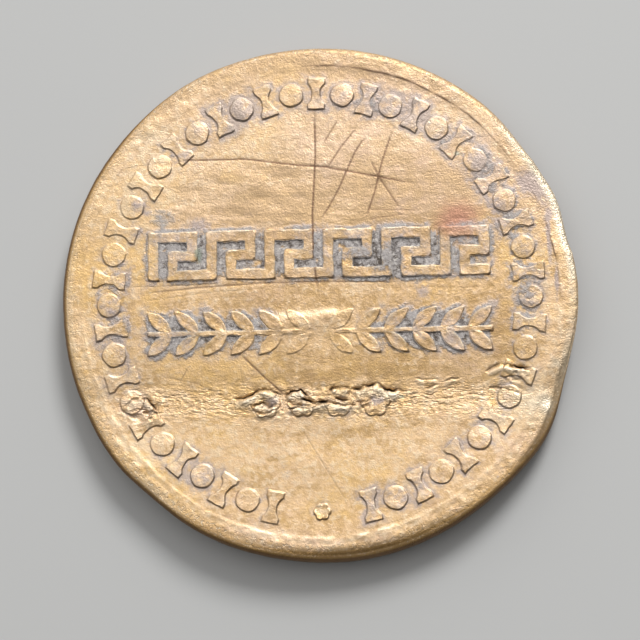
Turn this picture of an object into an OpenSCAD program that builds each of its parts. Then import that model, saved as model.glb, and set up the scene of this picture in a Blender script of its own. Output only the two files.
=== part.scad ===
// A struck brass token: one disc with a raised rim on both faces and a low relief on the upper face.
// Millimetres, +Z up, origin at the middle of the lower rim's land, the flat ring that it rests on.

/* [Disc] */
// Diameter over the edge
disc_d = 28; // [23:0.5:34]
// Thickness over the two rims
disc_t = 1.9; // [1.5:0.1:3]
// Radius of the rounded corners between each rim and the edge
edge_r = 0.5; // [0.2:0.05:0.6]

/* [Rim] */
// Width of the raised rim, from the edge to the foot of its slope
rim_w = 1.2; // [0.9:0.05:1.8]
// Height of the rim above the field, on each face
rim_h = 0.25; // [0.15:0.01:0.4]
// Width of the slope between the rim's land and the field
rim_slope = 0.3; // [0.1:0.05:0.6]

/* [Relief] */
// Height of the relief above the field
relief_h = 0.2; // [0.1:0.01:0.25]
// Depth to which the relief runs into the disc, so that both are one metal
relief_root = 0.1; // [0.05:0.01:0.3]
// Least clear field between the end of a row and the border ring
row_margin = 0.35; // [0.1:0.05:1]

/* [Border ring of beads and reels] */
// Clear field between the rim's foot and the ring
ring_gap = 0.55; // [0.2:0.05:1]
// Height of a reel, measured along the disc's radius
reel_h = 1.75; // [1:0.05:2.2]
// Width of a reel at its flanges
reel_w = 0.95; // [0.6:0.05:1.2]
// Width of a reel at its waist
waist_w = 0.45; // [0.2:0.05:0.55]
// Height of each flange of a reel
flange_h = 0.3; // [0.1:0.05:0.5]
// Diameter of a bead
bead_d = 1.3; // [0.8:0.05:1.5]
// Least distance from one bead to the next along the ring
ring_pitch = 2.75; // [2.6:0.05:4]
// Distance along the ring between its two end reels, where the stop stands
ring_opening = 5.3; // [3:0.1:9]
// Diameter of the stop, a small rosette in the ring's opening
stop_d = 0.95; // [0.6:0.05:1.6]

/* [Key row] */
// Height of the row's middle above the disc's middle
key_y = 2.55; // [1.5:0.05:4]
// Width of the key's line
key_line = 0.6; // [0.4:0.05:0.8]
// Width of the gaps between its lines
key_gap = 0.45; // [0.3:0.05:0.6]

/* [Leaf row] */
// Height of the row's middle below the disc's middle
leaf_y = 1.7; // [1.5:0.05:2.5]
// Length of a leaf
leaf_l = 1.8; // [1.2:0.05:2.2]
// Width of a leaf
leaf_w = 0.75; // [0.4:0.05:0.85]
// Angle between a leaf and the stem
leaf_angle = 42; // [30:1:60]
// Distance from one pair of leaves to the next
leaf_pitch = 1.5; // [1.3:0.05:2.5]
// Width of the stem
stem_w = 0.3; // [0.15:0.05:0.5]
// Clear field between the two stems' inner ends
stem_gap = 0.9; // [0.4:0.1:2]

/* [Rosette row] */
// Height of the row's middle below the disc's middle
rosette_y = 5.55; // [5:0.05:6.2]
// Number of rosettes
rosette_n = 4; // [1:1:4]
// Diameter of a rosette
rosette_d = 1.6; // [1:0.05:1.8]
// Distance from one rosette to the next
rosette_pitch = 1.95; // [1.85:0.05:2.1]
// Diameter of the hollow eye of a rosette
eye_d = 0.4; // [0.2:0.05:0.5]

/* [Hidden] */
$fn = 64;

brass = "#c9a064";

// Radii and levels of the disc
disc_r = disc_d / 2;
field_r = disc_r - rim_w;
edge_axis_r = disc_r - edge_r;
back_z = rim_h;
field_z = disc_t - rim_h;

// The ring lies inside the rim's foot, and its pitch is stretched to fill its arc with whole beads
ring_r = field_r - ring_gap - reel_h / 2;
ring_inner_r = ring_r - reel_h / 2;
opening_angle = ring_opening / ring_r * 180 / PI;
bead_n = floor((2 * PI * ring_r - ring_opening) / ring_pitch);
bead_step = (360 - opening_angle) / bead_n;
ring_start = -90 + opening_angle / 2;

// A bead is the cap of a ball that stands proud of the field by the relief's height
ball_r = (pow(bead_d / 2, 2) + pow(relief_h, 2)) / (2 * relief_h);

// The arc that hollows a reel's side runs from flange to flange through the waist
hollow_depth = (reel_w - waist_w) / 2;
hollow_chord = reel_h / 2 - flange_h;
hollow_r = (pow(hollow_chord, 2) + pow(hollow_depth, 2)) / (2 * hollow_depth);

// The key has three lines and two gaps in its height, and as many turns as fit in the ring
key_step = key_line + key_gap;
key_h = 2 * key_step + key_line;
key_turn = 3 * key_step;
key_n = floor((2 * half_row(key_y + key_h / 2) + key_gap) / key_turn);
key_w = key_n * key_turn - key_gap;

// A leaf is the lens between two arcs, and each stem has as many pairs as fit in the ring
leaf_r = (pow(leaf_l / 2, 2) + pow(leaf_w / 2, 2)) / leaf_w;
leaf_reach = leaf_l * cos(leaf_angle);
leaf_row_h = 2 * leaf_l * sin(leaf_angle) + leaf_w;
stem_end = half_row(leaf_y + leaf_row_h / 2);
leaf_n = 1 + floor((stem_end - stem_gap / 2 - leaf_reach) / leaf_pitch);

// Half of the length that a row may have whose far side lies y from the disc's middle
function half_row(y) = sqrt(pow(ring_inner_r, 2) - y * y) - row_margin;

// Half of the disc's section, from its axis to its edge
module disc_section() {
    translate([0, back_z])
        square([field_r, field_z - back_z]);
    polygon([
        [field_r, back_z],
        [field_r + rim_slope, 0],
        [edge_axis_r, 0],
        [edge_axis_r, disc_t],
        [field_r + rim_slope, disc_t],
        [field_r, field_z]
    ]);
    translate([edge_axis_r, edge_r])
        square([edge_r, disc_t - 2 * edge_r]);
    translate([edge_axis_r, disc_t - edge_r])
        corner();
    translate([edge_axis_r, edge_r])
        mirror([0, 1])
            corner();
}

// A quarter round between the rim and the edge
module corner() {
    intersection() {
        circle(edge_r);
        square(edge_r);
    }
}

// Stands a flat outline on the field as relief
module strike() {
    translate([0, 0, field_z - relief_root])
        linear_extrude(relief_root + relief_h)
            children();
}

// A domed bead on the field
module bead() {
    translate([0, 0, field_z + relief_h - ball_r])
        rotate_extrude()
            intersection() {
                circle(ball_r);
                translate([0, ball_r - relief_h - relief_root])
                    square([ball_r, relief_h + relief_root]);
            }
}

// The outline of a reel: a block with a hollow in each long side
module reel() {
    difference() {
        square([reel_w, reel_h], center = true);
        for (side = [-1, 1])
            translate([side * (waist_w / 2 + hollow_r), 0])
                circle(hollow_r);
    }
}

// Sets its children on the border ring at an angle, upright along the radius
module on_ring(angle) {
    rotate(angle - 90)
        translate([0, ring_r])
            children();
}

// The border ring, from one side of its opening round to the other
module border_ring() {
    strike()
        for (i = [0 : bead_n])
            on_ring(ring_start + i * bead_step)
                reel();
    for (i = [0 : bead_n - 1])
        on_ring(ring_start + (i + 0.5) * bead_step)
            bead();
}

// One turn of the key: up, across, down, back into the hook, down, and on to the next turn
module key_turn_outline(run) {
    square([key_line, key_h]);
    translate([0, 2 * key_step])
        square([2 * key_step + key_line, key_line]);
    translate([2 * key_step, key_step])
        square([key_line, key_step + key_line]);
    translate([key_step, key_step])
        square([key_step + key_line, key_line]);
    translate([key_step, 0])
        square([key_line, key_step + key_line]);
    translate([key_step, 0])
        square([run, key_line]);
}

// The key row, one unbroken line
module key_row() {
    translate([-key_w / 2, key_y - key_h / 2])
        for (i = [0 : key_n - 1])
            translate([i * key_turn, 0])
                key_turn_outline(i < key_n - 1 ? 2 * key_step + key_line : key_step + key_line);
}

// A leaf along +X, with its base at the origin
module leaf() {
    translate([leaf_l / 2, 0])
        intersection_for(side = [-1, 1])
            translate([0, side * (leaf_r - leaf_w / 2)])
                circle(leaf_r);
}

// One stem along +X with its pairs of leaves
module spray() {
    translate([stem_gap / 2, -stem_w / 2])
        square([(leaf_n - 1) * leaf_pitch + leaf_reach, stem_w]);
    for (i = [0 : leaf_n - 1], side = [-1, 1])
        translate([stem_gap / 2 + i * leaf_pitch, 0])
            rotate(side * leaf_angle)
                leaf();
}

// The leaf row: two sprays that grow apart from the middle
module leaf_row() {
    translate([0, -leaf_y]) {
        spray();
        mirror([1, 0])
            spray();
    }
}

// A six-lobed rosette
module rosette(d) {
    lobe_r = 0.22 * d;
    circle(d / 2 - lobe_r);
    for (i = [0 : 5])
        rotate(i * 60)
            translate([d / 2 - lobe_r, 0])
                circle(lobe_r);
}

// The row of rosettes, each with a hollow eye
module rosette_row() {
    for (i = [0 : rosette_n - 1])
        translate([(i - (rosette_n - 1) / 2) * rosette_pitch, -rosette_y])
            difference() {
                rosette(rosette_d);
                circle(d = eye_d);
            }
}

// The whole token, struck from one blank
module token() {
    color(brass)
        union() {
            rotate_extrude()
                disc_section();
            border_ring();
            strike()
                on_ring(-90)
                    rosette(stop_d);
            strike()
                key_row();
            strike()
                leaf_row();
            strike()
                rosette_row();
        }
}

token();
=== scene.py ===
# %% [markdown]
# A worn brass token
#
# The object is a token: a disc of brass, struck once between two dies, then handled, scratched and bent
# for a lifetime. It is one piece of metal, so this lesson makes one mesh. The packed model gives its
# size and place and shows it as it left the dies. Everything that makes it look old is worked out here,
# from formulas, from noise and from short lists of places.

# %% Load the packed part as a fixed frame
import math

import bpy
import numpy as np
from mathutils import Matrix, Vector, noise
from mathutils.geometry import delaunay_2d_cdt


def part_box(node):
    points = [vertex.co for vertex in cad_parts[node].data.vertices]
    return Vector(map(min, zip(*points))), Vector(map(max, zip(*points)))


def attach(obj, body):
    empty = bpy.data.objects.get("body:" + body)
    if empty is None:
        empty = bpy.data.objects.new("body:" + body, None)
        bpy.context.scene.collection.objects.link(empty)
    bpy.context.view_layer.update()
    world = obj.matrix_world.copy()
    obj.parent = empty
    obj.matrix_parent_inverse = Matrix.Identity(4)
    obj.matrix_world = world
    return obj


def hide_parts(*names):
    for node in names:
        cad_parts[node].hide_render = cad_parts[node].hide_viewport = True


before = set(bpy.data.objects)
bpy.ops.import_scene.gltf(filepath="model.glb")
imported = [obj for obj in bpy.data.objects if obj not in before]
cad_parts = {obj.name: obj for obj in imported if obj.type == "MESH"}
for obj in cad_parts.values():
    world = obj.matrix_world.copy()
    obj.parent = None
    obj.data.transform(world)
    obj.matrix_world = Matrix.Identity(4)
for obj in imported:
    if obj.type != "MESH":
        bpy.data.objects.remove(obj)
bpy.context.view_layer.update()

MM = 0.001
box_low, box_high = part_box("token")
disc_r = (box_high.x - box_low.x) / 2 / MM
disc_t = (box_high.z - box_low.z) / MM
print(f"token {2 * disc_r:.2f} mm across and {disc_t:.2f} mm thick")

# %% [markdown]
# The disc in section
#
# Seen in section, each face is a flat field with a raised rim, and the rim turns over a round corner
# into the edge. A lathe profile would do for a new token. Here the face is a height for each point of
# the plane instead, because the relief, the bends and the scratches are all heights that add up. Three
# helpers are enough for most of them: a soft step, a bell and a smooth noise.

# %% Sizes of the disc, in millimetres
edge_r = 0.5
rim_w = 1.2
rim_h = 0.25
rim_slope = 0.3
field_r = disc_r - rim_w
land_r = field_r + rim_slope
corner_r = disc_r - edge_r
field_z = disc_t - rim_h
# What wear has left of the upper rim: a low step up from the field, higher at the bottom of the token
rim_left = 0.012
rim_left_low = 0.032
top_z = field_z + rim_left
# Wear leaves the upper corner of the edge crisper than the lower one
upper_edge_r = 0.36
upper_corner_r = disc_r - upper_edge_r
print(f"field {2 * field_r:.1f} mm across, rim {rim_w:.1f} mm wide and {rim_h:.2f} mm high")


# %% Soft steps, bells and noise
def smooth(low, high, value):
    """0 below low, 1 above high, and an easy S between them."""
    share = np.clip((value - low) / (high - low), 0, 1)
    return share * share * (3 - 2 * share)


def bell(value, width):
    """1 at zero, falling to nothing about two widths away."""
    return np.exp(-((value / width) ** 2))


def ripple(x, y, cell, seed):
    """Smooth noise between about -1 and 1 whose lumps are one cell across."""
    return np.array([noise.noise(Vector((a, b, seed))) for a, b in zip(x / cell, y / cell)])


def rim_rise(radius):
    """Height of the rim above the field, as a share of its full height."""
    return smooth(field_r, land_r, radius)


print(f"a soft step from 0 to 1 passes {smooth(0, 1, 0.25):.2f} at a quarter of its way")

# %% [markdown]
# The worn rim
#
# Thumbs and counters have rubbed the upper rim down to a low step. It is a little higher along the
# bottom and the lower left, where its crest still stands and is later painted as a pale, broken highlight.
# The foot of the step wanders by a few hundredths of a millimetre. A ring of the same section all round
# would look turned on a lathe, so the height and the foot are functions of the place on the disc.

# %% What is left of the upper rim
# Where the crest of the rim is left: directions in degrees, half-widths along the edge, and share
LOW_AT, LOW_HALF = -86, 10.0
LEFT_AT, LEFT_HALF, LEFT_SHARE = -143, 9.5, 0.6
# How far the rim's foot lies inside its old land, and how much wider the rim is at the lower left
FOOT_IN = 0.32
WIDER_AT, WIDER_HALF, WIDER = -150, 6.0, 0.1


def lower_half(x, y):
    """1 on the lower half of the token, 0 at its top."""
    return smooth(0.4, -0.5, y / np.maximum(np.hypot(x, y), 1))


def along_edge(angle, direction):
    """Distance along the edge from a direction in degrees."""
    return ((angle - math.radians(direction) + math.pi) % (2 * math.pi) - math.pi) * disc_r


def low_side(x, y):
    """1 at the bottom of the token, less along its lower left, and 0 on the rest."""
    angle = np.arctan2(y, x)
    left = LEFT_SHARE * bell(along_edge(angle, LEFT_AT), LEFT_HALF)
    return np.maximum(bell(along_edge(angle, LOW_AT), LOW_HALF), left)


def rim_foot(x, y):
    """Radius of the rim's inner side, which wanders a little."""
    wider = WIDER * bell(along_edge(np.arctan2(y, x), WIDER_AT), WIDER_HALF)
    wander = 0.06 * ripple(x, y, 1.1, 5.2) + 0.04 * ripple(x, y, 0.4, 2.2)
    return land_r - FOOT_IN - wider + wander


def broken(x, y):
    """Noise from 0 to about 1.5 that breaks the crest of the rim into short runs."""
    return np.clip(0.7 + 1.3 * ripple(x, y, 0.7, 1.7) + 0.7 * ripple(x, y, 0.25, 6.7), 0, 1.5)


def worn_rim(x, y):
    """What is left of the upper rim's height, in millimetres."""
    radius, foot = np.hypot(x, y), rim_foot(x, y)
    crest = (rim_left_low - rim_left) * low_side(x, y) * smooth(upper_corner_r, land_r, radius)
    return (rim_left + crest * broken(x, y)) * smooth(foot - 0.06, foot + 0.06, radius)


print(f"upper rim worn to {rim_left:.3f} mm, and to {rim_left_low:.3f} mm at the bottom")

# %% [markdown]
# The motifs of the relief
#
# A die is cut with a few small punches. Each punch is a class here with two methods. distance() says how
# far a point lies outside the motif's outline, or how deep inside it as a negative number, and the
# relief's height comes from that. outline() gives the same outline as a line of points, grown or shrunk
# a little, and the mesh gets its edges from that. One could draw the motifs as curves and extrude them,
# but a distance makes soft, worn walls, and it tells later where grime would gather. A motif's levels
# say at which distances from the outline the mesh has a line of its own.

# %% Points along arcs and lines
POINT_STEP = 0.13


def arc(x, y, radius, start, end):
    """Points on an arc, with the angles in radians."""
    count = max(4, round(abs(end - start) * radius / POINT_STEP))
    angles = np.linspace(start, end, count + 1)
    return [(x + radius * math.cos(a), y + radius * math.sin(a)) for a in angles]


def filled_in(points, closed=True, step=POINT_STEP):
    """The same line with more points, about one step apart."""
    result = []
    ends = points[1:] + points[:1] if closed else points[1:]
    for (x0, y0), (x1, y1) in zip(points, ends):
        count = max(1, round(math.hypot(x1 - x0, y1 - y0) / step))
        result += [(x0 + (x1 - x0) * i / count, y0 + (y1 - y0) * i / count) for i in range(count)]
    return result if closed else result + points[-1:]


print(f"outlines have a point about every {POINT_STEP} mm")

# %% Beads and reels, for the border ring
WALL_FOOT = 0.025
WALL_TOP = -0.035


class Motif:
    """What all motifs share: steep walls and a flat top."""

    levels = (0.10, 0.05, WALL_FOOT, WALL_TOP, -0.06, -0.12)

    def rise(self, distance, x, y):
        return smooth(WALL_FOOT, WALL_TOP, distance)


class Bead(Motif):
    """A round button with a domed top."""

    levels = (0.10, 0.05, WALL_FOOT, WALL_TOP, -0.06, -0.12, -0.3)

    def __init__(self, diameter):
        self.radius = diameter / 2
        self.reach = self.radius

    def distance(self, x, y):
        return np.hypot(x, y) - self.radius

    def outline(self, grow):
        return arc(0, 0, self.radius + grow, 0, 2 * math.pi)[:-1]

    def rise(self, distance, x, y):
        share = np.clip((WALL_FOOT - distance) / (WALL_FOOT + self.radius), 0, 1)
        return 0.8 * smooth(WALL_FOOT, WALL_TOP, distance) + 0.25 * np.sqrt(1 - (1 - share) ** 2)


class Reel(Motif):
    """A block with a hollow in each long side."""

    def __init__(self, width, height, waist, flange):
        self.half_w, self.half_h = width / 2, height / 2
        depth = (width - waist) / 2
        chord = height / 2 - flange
        self.hollow_r = (chord**2 + depth**2) / (2 * depth)
        self.hollow_x = waist / 2 + self.hollow_r
        self.reach = math.hypot(self.half_w, self.half_h)

    def distance(self, x, y):
        x = np.abs(x)
        block = np.maximum(x - self.half_w, np.abs(y) - self.half_h)
        return np.maximum(block, self.hollow_r - np.hypot(x - self.hollow_x, y))

    def outline(self, grow):
        w, h, r = self.half_w + grow, self.half_h + grow, self.hollow_r - grow
        bend = math.acos((self.hollow_x - w) / r)
        hollow = arc(self.hollow_x, 0, r, math.pi - bend, math.pi + bend)
        right = [(w, h), *hollow, (w, -h)]
        left = [(-x, -y) for x, y in right]
        return filled_in(right + left)


print("walls from", WALL_FOOT, "mm outside an outline to", -WALL_TOP, "mm inside it")


# %% The key, for the upper row
class Key(Motif):
    """One unbroken line that turns into a hook, again and again."""

    def __init__(self, line, gap, turns):
        step = line + gap
        self.half = line / 2
        self.path = []
        for i in range(turns):
            x = 3 * step * i
            turn = [(x, 0), (x, 2 * step), (x + 2 * step, 2 * step), (x + 2 * step, step)]
            self.path += turn + [(x + step, step), (x + step, 0)]
        self.path.append((3 * step * (turns - 1) + 2 * step, 0))
        middle = (self.path[-1][0] / 2, step)
        self.path = [(x - middle[0], y - middle[1]) for x, y in self.path]
        self.reach = math.hypot(middle[0], middle[1]) + self.half

    def distance(self, x, y):
        nearest = np.full(x.shape, np.inf)
        for (x0, y0), (x1, y1) in zip(self.path, self.path[1:]):
            dx = x - np.clip(x, min(x0, x1), max(x0, x1))
            dy = y - np.clip(y, min(y0, y1), max(y0, y1))
            nearest = np.minimum(nearest, (np.abs(dx) ** 6 + np.abs(dy) ** 6) ** (1 / 6))
        return nearest - self.half

    def outline(self, grow):
        half = self.half + grow
        sides = [[], []]
        for i, (x, y) in enumerate(self.path):
            before = self.path[i - 1] if i else None
            after = self.path[i + 1] if i + 1 < len(self.path) else None
            run_in = np.sign((x - before[0], y - before[1])) if before else None
            run_out = np.sign((after[0] - x, after[1] - y)) if after else None
            if run_in is None:
                shift = -run_out
                run_in = run_out
            elif run_out is None:
                shift = run_in
                run_out = run_in
            else:
                shift = np.zeros(2)
            normal_in = np.array((-run_in[1], run_in[0]))
            normal_out = np.array((-run_out[1], run_out[0]))
            corner = normal_in if (normal_in == normal_out).all() else normal_in + normal_out
            for side, line in zip((1, -1), sides):
                line.append(tuple((x, y) + half * (shift + side * corner)))
        return filled_in(sides[0] + sides[1][::-1])


print(f"two turns of the key take {len(Key(1, 1, 2).path)} corners")


# %% Leaves and their stem, for the lower row
class Leaf(Motif):
    """A lens between two arcs, from its base at the origin to its tip on +X, with a fine vein."""

    def __init__(self, length, width):
        self.middle = length / 2
        self.radius = ((length / 2) ** 2 + (width / 2) ** 2) / width
        self.offset = self.radius - width / 2
        self.reach = length

    def distance(self, x, y):
        return np.hypot(x - self.middle, np.abs(y) + self.offset) - self.radius

    def outline(self, grow):
        radius = self.radius + grow
        tip = math.asin(self.offset / radius)
        upper = arc(self.middle, -self.offset, radius, tip, math.pi - tip)
        return upper[:-1] + [(x, -y) for x, y in upper[::-1]][:-1]

    def rise(self, distance, x, y):
        vein = 0.28 * bell(y, 0.07) * smooth(-0.05, -0.2, distance)
        return smooth(WALL_FOOT, WALL_TOP, distance) * (1 - vein)


class Stem(Motif):
    """A straight bar along +X from the origin."""

    def __init__(self, length, width):
        self.length, self.half = length, width / 2
        self.reach = length + self.half

    def distance(self, x, y):
        return np.maximum(np.maximum(-x, x - self.length), np.abs(y) - self.half)

    def outline(self, grow):
        x0, x1, y = -grow, self.length + grow, self.half + grow
        return filled_in([(x0, -y), (x1, -y), (x1, y), (x0, y)])


print(f"a leaf twice as long as wide needs arcs of radius {Leaf(2, 1).radius / 2:.3f} times its length")


# %% Rosettes, for the third row and for the stop in the ring
class Rosette(Motif):
    """Six round lobes about a middle, with or without a hollow eye."""

    levels = (0.10, 0.05, WALL_FOOT, WALL_TOP, -0.06)

    def __init__(self, diameter, eye=0):
        self.lobe_r = 0.22 * diameter
        self.lobe_at = diameter / 2 - self.lobe_r
        self.eye_r = eye / 2
        self.reach = diameter / 2

    def distance(self, x, y):
        angle = np.arctan2(y, x)
        turned = angle - np.round(angle / (math.pi / 3)) * (math.pi / 3)
        radius = np.hypot(x, y)
        lobe = np.hypot(radius * np.cos(turned) - self.lobe_at, radius * np.sin(turned)) - self.lobe_r
        body = np.minimum(lobe, radius - self.lobe_at)
        return np.maximum(body, self.eye_r - radius) if self.eye_r else body

    def rise(self, distance, x, y):
        radius = np.hypot(x, y)
        parting = bell(radius * np.cos(3 * np.arctan2(y, x)) / 3, 0.05)
        parting = parting * smooth(0.2, 0.5, radius / self.reach)
        return smooth(WALL_FOOT, WALL_TOP, distance) * (1 - 0.6 * parting)

    def outline(self, grow):
        lobe_r = self.lobe_r + grow
        count = max(24, round(2 * math.pi * (self.reach + grow) / POINT_STEP))
        points = []
        for i in range(count):
            angle = 2 * math.pi * i / count
            turned = angle - round(angle / (math.pi / 3)) * (math.pi / 3)
            side = self.lobe_at * math.sin(turned)
            radius = self.lobe_at * math.cos(turned) + math.sqrt(lobe_r**2 - side**2)
            points.append((radius * math.cos(angle), radius * math.sin(angle)))
        return points


print("punches:", ", ".join(c.__name__ for c in Motif.__subclasses__()))

# %% [markdown]
# Setting out the relief
#
# The die sinker sets the punches out with dividers: a border ring of beads and reels with a rosette at
# its opening, a key row, a row of leaves that grow apart from the middle, and four rosettes. The sizes
# are the packed model's own, so what is seen lies on the solid that carries it.

# %% Place the motifs
relief_h = 0.2
ring_gap = 0.55
reel_h = 1.75
bead_pitch = 2.75
ring_opening = 5.3
row_margin = 0.35
ring_r = field_r - ring_gap - reel_h / 2
ring_inner_r = ring_r - reel_h / 2

placed = []


def place(motif, x, y, angle=0.0, flip=1):
    """Puts a motif on the field, turned by an angle in radians and then mirrored if flip is -1."""
    placed.append((motif, x, y, angle, flip))


def place_on_ring(motif, angle):
    """Puts a motif on the ring, a little out of true, as a punch held by hand does."""
    out, along, turn = (noise.noise(Vector((5.3 * angle, 0.4, seed))) for seed in (0.9, 3.7, 7.3))
    radius, angle = ring_r + 0.1 * out, angle + 0.1 * along / ring_r
    place(motif, radius * math.cos(angle), radius * math.sin(angle), angle - math.pi / 2 + 0.12 * turn)


def half_row(y):
    """Half of the length that a row may have whose far side lies y from the middle."""
    return math.sqrt(ring_inner_r**2 - y * y) - row_margin


bead, reel = Bead(1.3), Reel(0.95, reel_h, 0.45, 0.3)
bead_n = math.floor((2 * math.pi * ring_r - ring_opening) / bead_pitch)
bead_step = (2 * math.pi - ring_opening / ring_r) / bead_n
ring_start = -math.pi / 2 + ring_opening / ring_r / 2
for i in range(bead_n + 1):
    place_on_ring(reel, ring_start + i * bead_step)
for i in range(bead_n):
    place_on_ring(bead, ring_start + (i + 0.5) * bead_step)
place_on_ring(Rosette(0.95), -math.pi / 2)
print(f"border ring: {bead_n} beads and {bead_n + 1} reels at radius {ring_r:.2f} mm")

# %% Place the rows
key_y = 2.55
key_line, key_gap = 0.6, 0.45
key_h = 3 * key_line + 2 * key_gap
key_n = math.floor((2 * half_row(key_y + key_h / 2) + key_gap) / (3 * (key_line + key_gap)))
place(Key(key_line, key_gap, key_n), 0, key_y)

leaf_y = -1.7
leaf_l, leaf_w, leaf_pitch = 1.8, 0.75, 1.5
leaf_angle = math.radians(42)
stem_gap, stem_w = 0.9, 0.3
leaf_row_h = 2 * leaf_l * math.sin(leaf_angle) + leaf_w
leaf_reach = leaf_l * math.cos(leaf_angle)
leaf_n = 1 + math.floor((half_row(-leaf_y + leaf_row_h / 2) - stem_gap / 2 - leaf_reach) / leaf_pitch)
leaf = Leaf(leaf_l, leaf_w)
for flip in (1, -1):
    place(Stem((leaf_n - 1) * leaf_pitch + leaf_reach, stem_w), flip * stem_gap / 2, leaf_y, 0, flip)
    for i in range(leaf_n):
        for side in (1, -1):
            place(leaf, flip * (stem_gap / 2 + i * leaf_pitch), leaf_y, side * leaf_angle, flip)

rosette_y, rosette_pitch = -5.55, 1.95
for i in range(4):
    place(Rosette(1.6, eye=0.4), (i - 1.5) * rosette_pitch, rosette_y)
print(f"rows: {key_n} turns of the key, {4 * leaf_n} leaves, 4 rosettes; {len(placed)} motifs in all")

# %% [markdown]
# Wear
#
# Pockets and counters rub a token where it stands proud. The middle of the leaf row is almost gone, the
# ring is weak in a few places, and the rosettes were crushed when the disc was folded. Each worn place
# is a soft oval, given by its middle, its two half-widths and how much of the relief it takes away.
# Later on such ovals serve for dirt, stains, and painted shade and light too, because none of these has
# hard borders.

# %% Places where the relief is worn down
# The share of the relief's height that wear has left on the rows, and how much less is left on the ring
LEFT_ON_ROWS, LESS_ON_RING = 0.52, 0.15
# Each worn place: its middle, its half-widths and the share that it takes
WORN = [
    (-0.4, -1.75, 2.3, 1.5, 0.9),
    (-0.3, -1.7, 2.3, 2.0, 0.95),
    (-1.4, -1.7, 1.2, 1.6, 0.92),
    (1.0, -1.7, 1.1, 1.6, 0.88),
    (-8.6, 2.8, 1.1, 1.3, 0.35),
    (-10.9, 3.4, 1.2, 2.0, 0.5),
    (9.0, 6.6, 1.3, 1.2, 0.5),
    (7.9, 8.1, 1.3, 1.2, 0.45),
    (10.8, -3.3, 1.2, 1.1, 0.4),
    (-7.6, 8.5, 1.0, 1.0, 0.3),
    (0.0, -5.1, 4.5, 1.0, 0.7),
    (-3.0, -5.6, 1.0, 1.0, 0.8),
]


def oval(x, y, place):
    """A soft oval, given by its middle, its half-widths and its amount."""
    middle_x, middle_y, half_x, half_y, amount = place
    return amount * np.exp(-(((x - middle_x) / half_x) ** 2 + ((y - middle_y) / half_y) ** 2))


def ovals(x, y, places):
    """The sum of several soft ovals."""
    return sum(oval(x, y, place) for place in places)


def on_ring(x, y):
    """1 on the border ring, 0 on the rows."""
    return smooth(ring_inner_r - 0.4, ring_inner_r, np.hypot(x, y))


def strength(x, y):
    """How much of the relief's height is left at each point."""
    left = LEFT_ON_ROWS + 0.2 * ripple(x, y, 2.2, 3.7) + 0.16 * ripple(x, y, 0.6, 7.3)
    left = left * (1 - LESS_ON_RING * on_ring(x, y))
    for place in WORN:
        left = left * (1 - oval(x, y, place))
    return left


middle_left = strength(np.zeros(1), np.full(1, leaf_y))[0]
print(f"{len(WORN)} worn places, with {middle_left:.0%} of the relief left in the middle of the leaf row")

# %% [markdown]
# Nibbled outlines
#
# Wear doesn't only lower the relief. It also eats into the outlines and pushes them out, by a few
# hundredths of a millimetre, so that no two beads are alike any more. Noise at three scales does this. The
# height of the relief reads it, and the lines of the mesh move by the same amount, so walls stay crisp.

# %% The relief at any point
# How far from a motif its distance is worked out
NEAR = 1.0
# The noises that move an outline: how far, the size of their lumps, and a seed
NIBBLES = [(0.045, 0.5, 9.1), (0.03, 0.25, 4.1), (0.03, 1.3, 2.9)]


def to_motif(x, y, motif_x, motif_y, angle, flip):
    """Points of the field in a motif's own coordinates."""
    x, y = (x - motif_x) * flip, y - motif_y
    return x * math.cos(angle) + y * math.sin(angle), y * math.cos(angle) - x * math.sin(angle)


def from_motif(points, motif_x, motif_y, angle, flip):
    """The reverse: a motif's points out on the field."""
    cos, sin = math.cos(angle), math.sin(angle)
    return [(motif_x + flip * (x * cos - y * sin), motif_y + x * sin + y * cos) for x, y in points]


def nibble(x, y):
    """How far wear has moved an outline in or out, in millimetres."""
    return sum(far * ripple(x, y, lump, seed) for far, lump, seed in NIBBLES)


def relief(x, y):
    """For each point: the relief's rise from 0 to 1, and the distance to the nearest outline."""
    rise, nearest = np.zeros(x.shape), np.full(x.shape, NEAR)
    moved = nibble(x, y)
    for motif, *where in placed:
        close = np.hypot(x - where[0], y - where[1]) < motif.reach + NEAR
        local_x, local_y = to_motif(x[close], y[close], *where)
        distance = motif.distance(local_x, local_y) + moved[close]
        rise[close] = np.maximum(rise[close], motif.rise(distance, local_x, local_y))
        nearest[close] = np.minimum(nearest[close], distance)
    return rise, nearest


print(f"outlines are moved by up to {sum(far for far, _, _ in NIBBLES):.2f} mm")

# %% Narrow gaps, and the way a wall faces
# The circle on which the crowding of the relief is judged, and the number of points on it
GAP_R, GAP_POINTS = 0.32, 10
# Half the distance between the two points from which a slope is worked out
FACING_STEP = 0.02
# The way that counts as up the token, a little to the right, towards the lamp: walls that face away from it
# get painted shade at their feet, and edges that face it a painted highlight
UP_X, UP_Y = 0.25, 0.97


def crowding(x, y):
    """The share of relief on a small circle about each point: high in narrow gaps, where dirt stays."""
    turns = [2 * math.pi * i / GAP_POINTS for i in range(GAP_POINTS)]
    around = [relief(x + GAP_R * math.cos(t), y + GAP_R * math.sin(t))[0] for t in turns]
    return np.clip(np.mean(around, axis=0), 0, 1)


def facing(x, y):
    """The direction in which the nearest wall of the relief faces, across and up the token."""
    across = relief(x + FACING_STEP, y)[1] - relief(x - FACING_STEP, y)[1]
    up = relief(x, y + FACING_STEP)[1] - relief(x, y - FACING_STEP)[1]
    length = np.maximum(np.hypot(across, up), 1e-6)
    return across / length, up / length


def turned_down(x, y):
    """1 where the nearest wall of the relief faces down the token, 0 where it faces up."""
    across, up = facing(x, y)
    return 0.5 - 0.5 * (UP_X * across + UP_Y * up)


def nibbled(points):
    """An outline's points, moved in or out by wear."""
    x, y = np.array(points).T
    across, up = facing(x, y)
    moved = nibble(x, y)
    return list(zip(x - across * moved, y - up * moved))


print(f"gaps are judged on circles {2 * GAP_R:.2f} mm across")
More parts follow.
